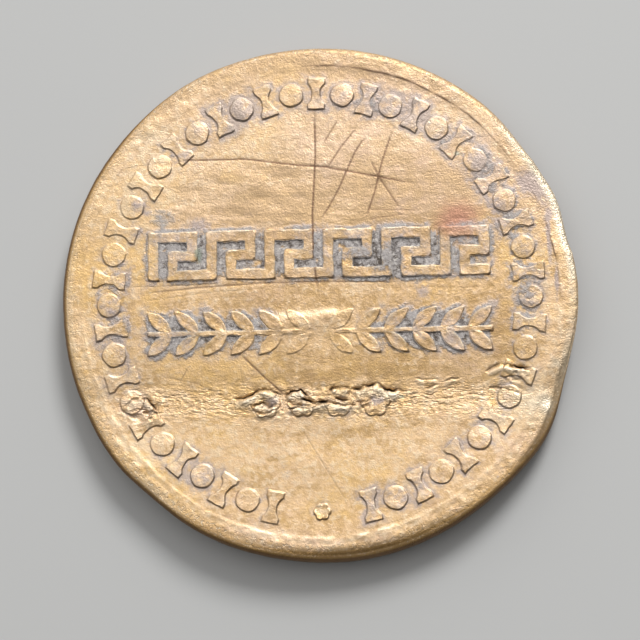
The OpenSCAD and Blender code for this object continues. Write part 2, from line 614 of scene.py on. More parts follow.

# %% [markdown]
# Scratches
#
# The scratches are cuts in the metal, so they are lines in the mesh with a floor lower than their sides,
# and not a picture of lines. Some were drawn with a sharp point and are nearly black, and others only
# graze the surface, so each has a number for how black it is, which also sets how wide and deep it is.
# The black is dirt and painted shade in the groove.

# %% Scratches, as points in millimetres from the middle
# Each scratch: how black it is, and its points
SCRATCHES = [
    (1.0, [(-0.1, 10.9), (-0.1, 7.8), (-0.3, 4.7), (-0.25, 2.2), (0.0, 0.0)]),
    (1.0, [(-8.4, 7.7), (-7.1, 7.85), (-3.9, 7.85), (-1.1, 7.45), (0.5, 7.3), (2.9, 6.8), (5.7, 6.2)]),
    (0.7, [(-10.4, 0.5), (-6.6, 0.8), (-3.3, 1.0), (0.5, 1.0), (5.1, 0.9)]),
    (0.4, [(-10.5, 0.95), (-7.0, 0.95), (-5.0, 1.02)]),
    (0.35, [(-10.6, 7.5), (-9.4, 7.65), (-8.2, 7.75)]),
    (0.7, [(1.15, 9.9), (0.3, 8.55)]),
    (0.8, [(2.2, 9.5), (1.3, 8.4), (0.5, 7.2)]),
    (0.9, [(2.9, 9.05), (2.45, 8.7), (2.05, 8.1), (1.6, 7.1), (1.15, 6.1), (0.6, 5.1), (0.05, 4.3)]),
    (0.8, [(2.85, 7.75), (3.3, 6.75), (4.5, 4.85)]),
    (0.9, [(4.15, 9.4), (3.5, 7.5), (3.1, 5.9), (2.55, 4.3)]),
    (0.5, [(2.6, 4.9), (5.6, 4.8)]),
    (0.5, [(2.6, 4.35), (4.8, 4.65)]),
    (1.0, [(-4.3, -2.8), (-3.0, -4.1), (-1.7, -5.3)]),
    (0.35, [(-1.1, -6.8), (1.4, -11.0)]),
    (0.5, [(-8.7, -3.9), (-6.6, -4.4), (-4.7, -5.3)]),
    (0.5, [(-7.1, -3.5), (-7.55, -4.35)]),
    (0.3, [(-4.3, -3.4), (-4.1, -4.7)]),
    (0.35, [(-9.9, 0.1), (-6.0, 0.55), (-2.6, 0.75)]),
    (0.25, [(-8.8, -0.1), (-5.2, 0.25), (-3.4, 0.3)]),
    (0.3, [(-10.2, 1.4), (-9.2, 1.2), (-7.6, 1.15)]),
    (0.3, [(5.4, 0.65), (9.0, 0.5)]),
    (0.25, [(-9.3, 5.4), (-7.4, 5.0)]),
    (0.25, [(-5.7, 6.6), (-3.3, 6.3)]),
    (0.2, [(3.6, -7.2), (6.1, -8.3)]),
    (0.2, [(-6.4, -7.3), (-4.2, -8.6)]),
]
SCRATCH_DEEP = 0.014


def scratch_half(black):
    """Half the width of a scratch."""
    return 0.05 + 0.042 * black


print(f"{len(SCRATCHES)} scratches, up to {2 * scratch_half(1):.2f} mm wide")

# %% [markdown]
# The fold
#
# The token looks as if it was bent double once and flattened again. A fold runs across its lower half:
# short tears whose lower lips stand up, with finer wrinkles beside them. A straight tear would look cut
# with a knife, so each one is drawn with a few points and then shaken by noise.

# %% Tears of the fold
FOLD_Y = -5.1
TEAR_STEP = 0.07
# Each tear of the fold: depth, height of its lower lip, and its points
TEARS = [
    (0.08, 0.11, [(-4.8, -5.3), (-3.9, -5.15), (-3.3, -4.8), (-2.7, -4.8), (-2.2, -5.05), (-1.8, -5.3)]),
    (0.09, 0.09, [(-2.0, -5.2), (-1.6, -4.92), (-1.05, -4.86), (-0.6, -5.25)]),
    (0.14, 0.06, [(-1.1, -5.38), (-0.3, -5.52), (0.5, -5.42)]),
    (0.05, 0.08, [(-1.75, -5.55), (-0.7, -5.75), (0.45, -5.5), (1.35, -5.7), (2.3, -5.62)]),
    (0.12, 0.08, [(0.45, -5.0), (0.65, -4.8), (1.6, -4.75)]),
    (0.10, 0.05, [(0.75, -5.3), (1.5, -5.42)]),
    (0.14, 0.10, [(1.6, -4.86), (2.6, -4.68), (3.1, -4.56), (3.6, -4.92), (4.5, -4.9)]),
    (0.08, 0.05, [(1.9, -5.5), (2.5, -5.62), (2.8, -5.4)]),
    (0.08, 0.07, [(-3.75, -5.7), (-3.1, -5.55), (-2.75, -5.75), (-2.2, -5.6)]),
    (0.06, 0.05, [(-3.6, -6.05), (-3.0, -6.15), (-2.5, -5.95)]),
    (0.07, 0.06, [(-1.8, -5.9), (-1.2, -5.75), (-0.6, -5.95)]),
    (0.05, 0.035, [(3.6, -4.95), (4.7, -4.97), (5.8, -4.86), (7.0, -4.42), (8.4, -4.36)]),
    (0.04, 0.03, [(3.75, -5.5), (5.2, -5.33), (6.5, -5.47), (8.1, -5.25), (9.3, -5.33)]),
    (0.04, 0.03, [(4.3, -5.15), (5.9, -5.2), (6.9, -4.95), (7.9, -4.85)]),
    (0.04, 0.03, [(5.0, -4.35), (6.1, -4.45), (7.0, -4.15)]),
    (0.12, 0.06, [(8.8, -4.05), (9.6, -3.7), (10.4, -3.8), (11.3, -3.9)]),
    (0.10, 0.05, [(9.0, -4.95), (9.7, -4.9), (10.7, -5.3)]),
    (0.08, 0.06, [(-10.6, -5.6), (-10.1, -5.2), (-9.3, -5.2), (-8.75, -5.86)]),
    (0.10, 0.05, [(-9.6, -5.95), (-9.1, -5.85), (-8.7, -6.0)]),
    (0.06, 0.05, [(-9.4, -6.3), (-8.8, -6.15), (-8.1, -6.35)]),
]


def ragged(points):
    """A torn line: filled in, and shaken up and down by noise at two scales."""
    line = filled_in(points, closed=False, step=TEAR_STEP)
    coarse = [0.09 * noise.noise(Vector((1.4 * x, y, 0.7))) for x, y in line]
    fine = [0.07 * noise.noise(Vector((4.5 * x, y, 3.1))) for x, y in line]
    return [(x, y + (up + up_fine)) for (x, y), up, up_fine in zip(line, coarse, fine)]


def tear_widths(deep, lip):
    """Half the width of a crack, and the distance of its lip's crest from it."""
    return 0.025 + 0.42 * deep, 0.065 + 0.42 * deep + 1.2 * lip


TEARS = [(deep, lip, ragged(points)) for deep, lip, points in TEARS]
print(f"{len(TEARS)} tears, up to {max(deep for deep, _, _ in TEARS):.2f} mm deep")


# %% Distance from a line
def near_line(x, y, points, reach):
    """True for the points in the box around a line, grown by a reach."""
    (x0, y0), (x1, y1) = np.min(points, 0) - reach, np.max(points, 0) + reach
    return (x > x0) & (x < x1) & (y > y0) & (y < y1)


def line_distance(x, y, points):
    """Distance to a line of points, positive on its left, and how far from its ends, from 0 to 1."""
    best, side, fade = np.full(x.shape, np.inf), np.ones(x.shape), np.zeros(x.shape)
    runs = [math.dist(a, b) for a, b in zip(points, points[1:])]
    whole, start = sum(runs), 0.0
    for (x0, y0), (x1, y1), run in zip(points, points[1:], runs):
        ux, uy = (x1 - x0) / run, (y1 - y0) / run
        along = np.clip((x - x0) * ux + (y - y0) * uy, 0, run)
        off = np.hypot(x - x0 - along * ux, y - y0 - along * uy)
        nearer = off < best
        best[nearer] = off[nearer]
        side[nearer] = np.sign((y - y0) * ux - (x - x0) * uy)[nearer]
        fade[nearer] = (np.minimum(start + along, whole - start - along) / whole)[nearer]
        start += run
    return best * side, smooth(0.0, 0.15, fade)


left_of_line = line_distance(np.zeros(1), np.ones(1), [(-1, 0), (1, 0)])[0][0]
print(f"a point to the left of a line lies {left_of_line:+.1f} mm from it")


# %% Depth of the cuts
def cuts(x, y):
    """Depth of the scratches and the tears, how dark each shows (dirt and painted shade in a scratch,
    painted shade in a crack), and the painted highlight on each tear's raised lip.
    """
    depth, drawn, dark, lips = (np.zeros(x.shape) for _ in range(4))
    for black, points in SCRATCHES:
        half = scratch_half(black)
        near = near_line(x, y, points, half)
        off, fade = line_distance(x[near], y[near], points)
        cut = black * fade * np.clip(1.6 - 1.6 * np.abs(off) / half, 0, 1)
        depth[near] = np.maximum(depth[near], SCRATCH_DEEP * cut)
        # How black the scratch is painted: dirt and painted shade in its groove
        drawn[near] = np.maximum(drawn[near], cut)
    for deep, lip, points in TEARS:
        half, crest = tear_widths(deep, lip)
        near = near_line(x, y, points, 1.0)
        off, fade = line_distance(x[near], y[near], points)
        whole = 0.85 if lip > 0.05 else 0.35
        fade = fade * np.clip(whole + 1.2 * ripple(x[near], y[near], 0.45, 6.6), 0, 1.2)
        crack = np.clip(2 - 2 * np.abs(off) / half, 0, 1)
        raised = np.interp(-off, (0, crest, 2.6 * crest), (0, 1, 0))
        slope = np.where(off > 0, 0.3 * deep * np.exp(-np.abs(off) / 0.2), 0)
        depth[near] += fade * (deep * crack - 1.3 * lip * raised + slope)
        # A tear's crack is painted near black as shade
        dark[near] = np.maximum(dark[near], fade * crack * min(1, 0.2 + 8 * deep))
        # Its raised lower lip is painted pale as a highlight
        lips[near] = np.maximum(lips[near], fade * raised * min(1, 10 * lip))
    return depth, drawn, dark, lips


on_scratch = cuts(np.full(1, -0.1), np.full(1, 9.0))[0][0]
print(f"the upright scratch is {on_scratch:.3f} mm deep near its upper end")

# %% [markdown]
# Bends and knocks
#
# The disc is no longer flat or round. Above the fold it arches a little, and below the fold it rises
# towards its lower edge. The field is cupped up to the rim round the lower half, and in two places the
# rim is rolled over. It has been knocked flat in others, which takes a little off its radius and bevels
# its corner. Both faces share these movements, so they are functions of a point in space and not of a
# face.

# %% Bends of the whole disc
# Height of the arch above the fold, and how far from the fold it takes to rise
ARCH, ARCH_RUN = 0.14, 1.6
# Slope below the fold, and how softly it starts
LIFT, LIFT_SOFT = 0.045, 0.3
# How far the field turns up towards the rim round the lower half, and from which radius
CUP, CUP_FROM = 0.08, 10.8


def cupped(x, y):
    """1 on the rim along the left, the bottom and the right of the token, 0 on the rest."""
    return lower_half(x, y) * smooth(CUP_FROM, land_r - 0.2, np.hypot(x, y))


def bend(x, y):
    """Lift of the disc at a point, as it lies on its rim and on the underside of the fold."""
    above = np.maximum(y - FOLD_Y, 0)
    top = disc_r - FOLD_Y
    arch = ARCH * (1 - np.exp(-above / ARCH_RUN)) * (1 - (above / top) ** 2)
    below = np.sqrt(np.maximum(FOLD_Y - y, 0) ** 2 + LIFT_SOFT) - math.sqrt(LIFT_SOFT)
    return arch + LIFT * below + CUP * cupped(x, y)


print(f"the middle is lifted by {bend(np.zeros(1), np.zeros(1))[0]:.2f} mm")

# %% Knocks on the rim
# How far inside the corner a knock still moves the metal
KNOCK_IN = 1.3
# Where the rim is rolled over: direction in degrees, half-width along the edge, starting radius and drop
ROLLED = [(-80, 4.6, 13.4, 0.5), (-28, 2.6, 13.6, 0.5)]
# Each knock: its direction in degrees, its half-width along the edge, the cut in the radius and the bevel
KNOCKS = [
    (345, 2.2, 0.14, 0.05),
    (-33, 2.4, -0.22, 0.08),
    (23, 1.7, -0.25, 0.0),
    (35.5, 2.0, 0.18, 0.0),
    (11, 1.2, 0.10, 0.0),
    (-3, 5.0, 0.08, 0.0),
    (-20, 1.6, 0.05, 0.10),
    (183, 6.0, 0.12, 0.0),
    (205, 2.2, 0.04, 0.0),
    (229, 1.8, 0.12, 0.03),
    (-70, 6.0, -0.10, 0.0),
    (118, 2.5, -0.08, 0.0),
]
# A flat on the edge: its direction in degrees and how much it cuts off
FLAT_AT, FLAT_CUT = 21, 0.28


def knocked(x, y):
    """The cut in the radius, the bevel of the corner and the rubbed metal that the knocks leave, which the
    finish makes smoother and paints pale as a highlight.
    """
    angle, radius = np.arctan2(y, x), np.hypot(x, y)
    outer = smooth(corner_r - KNOCK_IN, disc_r, radius)
    cut = 0.03 * ripple(np.cos(angle) * 9, np.sin(angle) * 9, 3.0, 8.1) * outer
    chord = (disc_r - FLAT_CUT) / np.maximum(np.cos(angle - math.radians(FLAT_AT)), 0.5)
    flat = np.maximum(disc_r - chord, 0)
    cut = cut + flat * outer
    rub = smooth(0.0, 0.15, flat) * smooth(corner_r + 0.1, corner_r + 0.35, radius)
    bevel = 0.3 * flat * outer
    for direction, half, start, drop in ROLLED:
        turned = np.clip((radius - start) / (disc_r - start), 0, 1)
        bevel = bevel + drop * turned * bell(along_edge(angle, direction), half)
    for direction, half, taken, slope in KNOCKS:
        share = bell(along_edge(angle, direction), half)
        cut = cut + taken * share * outer
        bevel = bevel + slope * share * smooth(land_r - 0.4, disc_r, radius)
        rubbed = share * smooth(corner_r - 0.2, corner_r + 0.2, radius)
        rub = np.maximum(rub, rubbed * min(1, 4 * taken + 2 * slope))
    return cut, bevel, rub


print(f"{len(KNOCKS)} knocks, {len(ROLLED)} rolled places and one flat on the rim")


# %% Bend and knock points in space
def deform(x, y, z):
    """Bends the disc and knocks its rim. Returns points in space and the rubbed metal."""
    cut, bevel, rub = knocked(x, y)
    shrink = 1 - cut / np.maximum(np.hypot(x, y), 1)
    share = z / disc_t
    return np.stack((x * shrink, y * shrink, z + bend(x, y) - bevel * share), 1), rub * share


bottom = deform(np.zeros(1), np.full(1, -disc_r), np.full(1, disc_t))[0][0]
print(f"the bottom of the rim is moved to y {bottom[1]:.2f} and z {bottom[2]:.2f} mm")

# %% [markdown]
# Laying out the points
#
# A mesh shows crisp relief only where its own edges follow the outlines. A plain grid would need
# millions of points for that. A constrained triangulation needs few: it takes the outlines, the
# scratches and the rings of the rim as lines that have to be in the mesh, fills the rest with a
# honeycomb of points, and joins them all into well shaped triangles.

# %% Rings of the rim, as radii in millimetres
AROUND = 720
# The foot of a fine step inside the rim, which waves a little
RIM_LINE = 12.97
RIM_RINGS = [upper_corner_r, 13.6, 13.45, 13.3, 13.18, 13.1, 13.03]
RIM_RINGS += [RIM_LINE, 12.91, 12.85, 12.78, 12.7, 12.6, 12.5]
BACK_RINGS = [corner_r, land_r + 0.05, land_r - 0.05, land_r - 0.15, land_r - 0.25, field_r - 0.08]


def rim_wave(angle):
    """How far the line inside the rim strays from its circle at an angle."""
    x, y = math.cos(angle), math.sin(angle)
    coarse = noise.noise(Vector((6 * x, 6 * y, 4.9)))
    fine = noise.noise(Vector((25 * x, 25 * y, 1.9)))
    return 0.05 * coarse + 0.03 * fine


print(f"{len(RIM_RINGS)} rings on the upper face and {len(BACK_RINGS)} on the lower one")

# %% A layout of points and lines
# Points of a triangulation that lie closer than this become one
MERGE = 0.002


class Layout:
    """Collects the points and lines of a face, then triangulates them."""

    def __init__(self):
        self.points, self.lines = [], []

    def add(self, points, closed):
        """A line through points, closed or open."""
        first = len(self.points)
        self.points += points
        last = len(points) - 1
        self.lines += [(first + i, first + i + 1) for i in range(last)]
        if closed:
            self.lines.append((first + last, first))

    def add_rings(self, radii):
        """Rings from the corner inwards. Those beside the fine step follow its waves."""
        angles = [2 * math.pi * i / AROUND for i in range(AROUND)]
        for radius in radii:
            wave = smooth(0.14, 0.07, abs(radius - RIM_LINE))
            reach = [radius + wave * rim_wave(a) for a in angles]
            self.add([(r * math.cos(a), r * math.sin(a)) for r, a in zip(reach, angles)], closed=True)
        self.inner = radii[-1]

    def add_honeycomb(self, step, keep):
        """A honeycomb of points inside the rim, where keep says so."""
        rows = math.ceil(field_r / (step * math.sqrt(0.75)))
        columns = math.ceil(field_r / step) + 1
        i, j = np.meshgrid(np.arange(-columns, columns), np.arange(-rows, rows + 1))
        x, y = step * (i + 0.5 * (j % 2)).ravel(), step * math.sqrt(0.75) * j.ravel()
        inside = np.hypot(x, y) < self.inner - 0.6 * step
        x, y = x[inside], y[inside]
        kept = keep(x, y)
        self.points += list(zip(x[kept], y[kept]))

    def triangulate(self):
        """The points, the triangles, and which points lie on the outer ring, in its order."""
        points, _, faces, sources, _, _ = delaunay_2d_cdt(
            [Vector(p) for p in self.points], self.lines, [], 0, MERGE
        )
        ring = {s: index for index, source in enumerate(sources) for s in source if s < AROUND}
        return np.array([tuple(p) for p in points]), faces, [ring[i] for i in range(AROUND)]


def beside(points, offset):
    """A line of points moved sideways by an offset."""
    p = np.array(points)
    along = np.gradient(p, axis=0)
    along /= np.linalg.norm(along, axis=1, keepdims=True)
    return [tuple(q) for q in p + offset * np.stack((-along[:, 1], along[:, 0]), 1)]


print(f"points closer than {MERGE} mm become one")

# %% Lines of the upper face
face = Layout()
face.add_rings(RIM_RINGS)
outlines = [from_motif(motif.outline(level), *where) for motif, *where in placed for level in motif.levels]
moved_points = iter(nibbled(sum(outlines, [])))
for outline in outlines:
    face.add([next(moved_points) for _ in outline], closed=True)
for black, points in SCRATCHES:
    for widths in (-2, -1, 0, 1, 2):
        face.add(beside(filled_in(points, closed=False), widths * scratch_half(black)), closed=False)
for deep, lip, points in TEARS:
    half, crest = tear_widths(deep, lip)
    for offset in (-crest, -half, -half / 2, half / 2, half):
        face.add(beside(points, offset), closed=False)
print(f"{len(outlines)} outlines; {len(face.points)} points on lines in all")

# %% Fill the upper face, and triangulate it
FACE_STEP = 0.145
# The crumpled band along the fold has more points: half its width, its middle below the fold, and its step
BAND_HALF, BAND_BELOW, BAND_STEP = 1.25, 0.2, 0.062


def clear_of_lines(x, y):
    """True where a honeycomb point would not crowd a line of the relief, a scratch or the fold."""
    _, nearest = relief(x, y)
    clear = (nearest < -0.19) | (nearest > 0.17)
    for black, points in SCRATCHES:
        near = near_line(x, y, points, 4 * scratch_half(black))
        clear[near] &= np.abs(line_distance(x[near], y[near], points)[0]) > 3 * scratch_half(black)
    for deep, lip, points in TEARS:
        half, crest = tear_widths(deep, lip)
        near = near_line(x, y, points, 2 * crest)
        off = line_distance(x[near], y[near], points)[0]
        clear[near] &= (off < -crest - 0.04) | (off > half + 0.04)
    return clear


def near_fold(y):
    """True in the crumpled band along the fold."""
    return np.abs(y - FOLD_Y + BAND_BELOW) < BAND_HALF


face.add_honeycomb(FACE_STEP, lambda x, y: clear_of_lines(x, y) & ~near_fold(y))
face.add_honeycomb(BAND_STEP, lambda x, y: clear_of_lines(x, y) & near_fold(y))
face_xy, face_tris, face_ring = face.triangulate()
print(f"upper face: {len(face_xy)} points, {len(face_tris)} triangles")

# %% Triangulate the lower face
BACK_STEP = 0.3
back = Layout()
back.add_rings(BACK_RINGS)
back.add_honeycomb(BACK_STEP, lambda x, y: np.ones(x.shape, bool))
back_xy, back_tris, back_ring = back.triangulate()
print(f"lower face: {len(back_xy)} points, {len(back_tris)} triangles")

# %% [markdown]
# From the plane into space
#
# Now each point gets its height. The upper face adds up the worn rim, the relief, the cuts, the wrinkles
# of the fold, a rubbed step, and the waves, dents and bumps of the field. The next cells make these
# terms one by one, and then add them up. All of it is shape and not shading, so it answers to any light.

# %% Wrinkles of the fold
# Places along the fold that are crumpled in all directions
CRUSHED = [
    (-2.7, -5.5, 1.2, 0.8, 0.9),
    (0.0, -5.5, 1.6, 0.7, 0.9),
    (2.6, -5.4, 1.2, 0.7, 0.9),
    (-9.6, -5.7, 1.0, 0.8, 1.0),
    (10.3, -4.3, 0.9, 0.8, 0.8),
]


def ridged(x, y, seed):
    """Sharp crests, from noise that is folded at zero."""
    return 1 - 2 * np.abs(ripple(x, y, 1.0, seed))


def fold_band(x, y):
    """1 on the fold, fading above and below it and towards the rim."""
    return bell(y - FOLD_Y + 0.3, 0.8) * smooth(11.5, 9.5, np.abs(x))


def crushed(x, y):
    """1 in the crumpled places, 0 away from them."""
    return np.minimum(ovals(x, y, CRUSHED), 1)


def wrinkles(x, y):
    """Fine folds of the metal along the fold, calmer towards the right, and lumps where it is crushed."""
    wave = y + 0.3 * ripple(x, y, 1.6, 7.7)
    fine = 0.022 * ridged(1.2 * x, 3.4 * wave, 1.3) + 0.034 * ridged(2.8 * x, 6.0 * wave, 5.9)
    lumps = 0.09 * ridged(2.2 * x, 3.0 * y, 8.8) * crushed(x, y)
    return fold_band(x, y) * fine * (1 - 0.35 * smooth(3.0, 5.0, x) - 0.25 * smooth(6.5, 8.5, x)) + lumps


print(f"{len(CRUSHED)} crumpled places along the fold")

# %% The fine step of the rim
# Arcs where a fine step still parts the rim from the field: direction and half-width in degrees, and height
RIM_ARCS = [(66, 24, 0.034), (12, 11, 0.022), (150, 25, 0.006)]
# The height at which the painted shade along the foot of the step is at its darkest
FULL_STEP = 0.025


def rim_step(x, y):
    """Height of the rim outside its fine step, and how much painted shade shows along its foot."""
    angle = np.arctan2(y, x)
    high = sum(h * bell((np.degrees(angle) - a + 180) % 360 - 180, half) for a, half, h in RIM_ARCS)
    high = high * np.clip(0.9 + 1.0 * ripple(x, y, 0.8, 8.6), 0.3, 1.4)
    off = np.hypot(x, y) - RIM_LINE - np.array([rim_wave(a) for a in angle])
    return high * smooth(-0.05, 0.05, off), np.clip(high / FULL_STEP, 0, 1) * bell(off, 0.05)


print(f"{len(RIM_ARCS)} arcs of a fine step, up to {max(high for _, _, high in RIM_ARCS):.3f} mm high")

# %% Waves, dents, bumps and nicks
# Where the upper field is wavy
WAVY = [(-2.5, 5.8, 6.0, 1.6, 1.0)]
# Where the rim is dented: direction in degrees, half-width along the edge and depth
DENTED = [(133, 3.6, 0.045), (48, 3.0, 0.014)]
# The radius on which the dents lie, and half their reach across the rim
DENT_R, DENT_HALF = 13.3, 0.32
# Small bumps that catch the light: middle, half-widths and height
BUMPS = [(12.15, -6.2, 0.3, 0.3, 0.04), (11.9, -5.3, 0.35, 0.25, 0.02)]
# The rim is nicked from the first radius on, and fully from the second
NICKS_FROM, NICKS_FULL = 12.8, 13.1


def dents(x, y):
    """Depth of the small, crowded dents on the rim."""
    along = np.arctan2(y, x)
    deep = sum(depth * bell(along_edge(along, direction), half) for direction, half, depth in DENTED)
    return deep * ridged(1.5 * x, 1.5 * y, 5.5) * bell(np.hypot(x, y) - DENT_R, DENT_HALF)


def unevenness(x, y):
    """Height of the waves and bumps, less the depth of the dents."""
    lumps = 0.022 * ripple(x, y * 1.3, 1.9, 0.4) + 0.006 * ripple(x, y * 2.0, 0.5, 2.4)
    waves = 0.026 * ripple(0.45 * x - 0.15 * y, 1.5 * y, 1.0, 3.9)
    waves = waves + 0.034 * ripple(0.8 * x, 2.1 * y, 1.0, 5.1)
    return lumps + waves * ovals(x, y, WAVY) + ovals(x, y, BUMPS) - dents(x, y)


def nicks(x, y):
    """Height of the small nicks along the rim, roughest at the bottom of the token."""
    rough = 0.02 * ripple(x, y, 0.3, 3.3) + 0.016 * ripple(x, y, 0.8, 7.1) * low_side(x, y)
    return rough * smooth(NICKS_FROM, NICKS_FULL, np.hypot(x, y)) * (0.5 + 0.5 * lower_half(x, y))


print(f"{len(DENTED)} dented places and {len(BUMPS)} bumps")

# %% The rubbed step in the leaf row
# Its middle, half-length and tilt, then its foot, its crest and its height
STEP_X, STEP_HALF, STEP_TILT = -0.6, 2.0, 0.06
STEP_FOOT, STEP_CREST, STEP_H = -0.45, -0.95, 0.078


def worn_step(x, y):
    """Height of the step where the leaves are worn away, with a steep side above and a long one below."""
    across = y - STEP_TILT * (x - STEP_X)
    step = smooth(STEP_FOOT, STEP_CREST, across) * smooth(STEP_CREST - 1.3, STEP_CREST, across)
    along = smooth(STEP_HALF + 0.6, STEP_HALF - 0.6, np.abs(x - STEP_X) + 0.4 * ripple(x, y, 0.5, 2.2))
    return STEP_H * step * along * (1 + 0.5 * ripple(x, 3 * y, 0.6, 4.4))


print(f"a step {2 * STEP_HALF:.1f} mm long and {STEP_H:.2f} mm high")

# %% Add up the heights of the upper face
xy = face_xy.T
face_radius = np.hypot(*xy)
rise, nearest = relief(*xy)
left = strength(*xy)
depth, drawn, dark, lips = cuts(*xy)
step_up, step_shade = rim_step(*xy)
inside = smooth(field_r + 0.1, field_r - 0.4, face_radius)
face_z = field_z + worn_rim(*xy) + relief_h * left * rise + step_up + nicks(*xy)
face_z = face_z + unevenness(*xy) + inside * (worn_step(*xy) + wrinkles(*xy)) - depth * (0.3 + 0.7 * inside)
face_points, knock_rub = deform(*xy, face_z)
print(f"upper face lies between {face_points[:, 2].min():.2f} and {face_points[:, 2].max():.2f} mm")

# %% [markdown]
# Where the finish changes
#
# The finish will read masks, which are numbers from 0 to about 1 for each point of the mesh. Grime sits
# in the narrow gaps of the relief. Painted shade, with a little soot, lies along the feet of the walls,
# darkest on those that face down the token, away from the lamp, and a thin film lies about the motifs.
# Crests that face the lamp get a painted highlight, and rubbed corners are painted pale as highlights.
# Soft ovals make the metal darker or paler in large places, some as patina and some as painted shade
# and light on the bent field, and more golden or pinker, as on any brass that lay about and was handled
# for years. Painting these by hand would work too, but a list of places can be read and changed.

# %% Where dirt and film lie
# Where dirt lies thickest: middle, half-widths and how much
DIRTY = [
    (-7.6, 2.6, 1.6, 1.6, 0.85),
    (-4.6, 2.8, 2.0, 1.4, 0.6),
    (-1.5, 2.6, 1.4, 1.2, 0.9),
    (4.0, 2.3, 4.0, 1.6, 0.8),
    (3.4, 2.2, 1.7, 1.2, 1.1),
    (-8.0, -1.6, 2.0, 1.6, 0.9),
    (-4.2, -1.4, 1.8, 1.2, 0.7),
    (6.0, -1.6, 2.6, 1.5, 1.0),
    (10.6, 4.4, 1.6, 3.2, 0.6),
    (8.6, 7.8, 1.8, 1.7, 0.85),
    (10.9, 0.0, 1.2, 2.0, 0.6),
    (-11.0, 0.5, 1.3, 2.6, 0.45),
    (3.0, 10.8, 2.4, 1.2, 0.4),
]
# Where dirt is smeared over the tops as well
SMEARED = [
    (2.0, 2.4, 1.0, 0.9, 0.2),
    (3.8, 2.2, 1.0, 1.0, 0.28),
    (-8.4, 4.6, 0.8, 0.7, 0.2),
    (11.0, 0.5, 0.8, 0.9, 0.22),
    (-10.6, -1.0, 0.6, 1.0, 0.14),
]
# Where a thin grey film lies about the relief
HAZY = [
    (4.4, 10.6, 2.4, 1.4, 1.6),
    (-4.4, 10.3, 2.2, 1.6, 1.6),
    (0.3, 11.2, 1.6, 1.2, 0.6),
    (-3.0, -0.9, 1.5, 1.0, 0.7),
    (9.6, 5.6, 2.0, 3.0, 1.0),
    (10.9, 0.5, 1.3, 1.6, 1.5),
    (10.8, -2.8, 1.2, 1.2, 0.4),
    (2.2, -11.2, 1.0, 0.9, 1.0),
    (-10.8, -1.0, 1.6, 3.0, 0.7),
    (4.6, -10.3, 2.2, 1.3, 0.9),
    (-6.7, -9.3, 1.8, 1.4, 0.8),
    (8.3, 8.0, 1.9, 1.7, 1.3),
    (9.0, -7.5, 2.5, 2.5, 0.6),
    (3.5, 2.5, 5.0, 2.0, 0.9),
    (-7.5, 2.5, 2.5, 2.0, 0.9),
    (6.0, -1.5, 3.0, 1.8, 0.9),
    (-8.0, -1.5, 2.0, 1.8, 0.8),
]
print(f"{len(DIRTY)} dirty places, {len(SMEARED)} smears and {len(HAZY)} places under a film")

# %% Where the patina changes, with painted shade and light
# Large places where the metal is darker, or paler where the last number is below zero: some are blotches of
# patina, and some are painted shade and painted light where the bent field turns away from the lamp and
# towards it, as the band above the fold
TONES = [
    (0.5, 5.0, 8.5, 1.6, 0.95),
    (5.0, 6.8, 4.5, 1.4, 0.9),
    (6.8, 4.1, 3.4, 0.9, 1.2),
    (-2.5, 7.0, 2.5, 1.0, 0.4),
    (9.3, -1.2, 1.5, 1.4, 0.6),
    (-9.0, -6.3, 0.9, 0.8, 0.7),
    (0.2, -8.1, 1.0, 0.9, 0.5),
    (-9.0, 9.0, 1.0, 0.9, -0.7),
    (-6.2, 0.5, 2.0, 0.9, -0.5),
    (-12.6, 3.0, 0.8, 2.0, 0.5),
    (0.5, 4.1, 3.0, 0.8, 0.5),
    (0.0, -1.3, 1.6, 0.8, -0.7),
    (10.2, -3.2, 1.2, 0.9, 0.6),
    (2.0, 0.4, 1.2, 0.8, -0.6),
    (0.0, -8.0, 9.0, 2.0, -0.2),
    (-3.3, 5.75, 0.9, 0.35, 1.0),
    (-4.5, 7.0, 0.7, 0.25, 0.7),
    (-5.8, 5.5, 1.2, 0.35, -0.9),
    (-1.4, 6.5, 1.5, 0.25, -0.8),
    (5.4, 9.1, 1.8, 0.9, -0.8),
    (10.2, -6.0, 2.0, 1.4, -1.0),
    (-3.5, -13.2, 1.5, 0.8, -0.8),
    (-9.7, -8.1, 1.6, 1.6, -0.5),
    (0.0, -0.6, 9.5, 2.0, 0.25),
    (-1.0, -3.9, 8.0, 0.7, 0.35),
    (-4.0, -8.5, 6.0, 2.6, -0.4),
    (4.5, -9.0, 4.0, 2.6, -0.2),
    (0.0, 12.8, 7.0, 1.2, 0.6),
    (-9.5, -6.5, 3.0, 3.0, -0.4),
    (-5.0, 8.3, 5.0, 1.6, -0.4),
    (-12.0, -1.0, 2.5, 6.0, -0.5),
    (-9.5, 5.8, 2.2, 3.0, -0.9),
    (11.8, -3.0, 2.2, 5.5, -0.55),
    (-6.0, -3.0, 4.0, 1.0, -0.3),
    (7.8, 9.6, 2.2, 1.5, -0.4),
    (1.8, 4.1, 3.2, 0.7, 0.35),
    (5.8, 6.4, 1.2, 1.5, 0.35),
    (9.5, 3.9, 0.9, 0.8, 0.35),
    (-10.9, 5.6, 1.0, 0.9, -0.3),
    (-9.0, 9.1, 1.2, 1.0, -0.3),
]
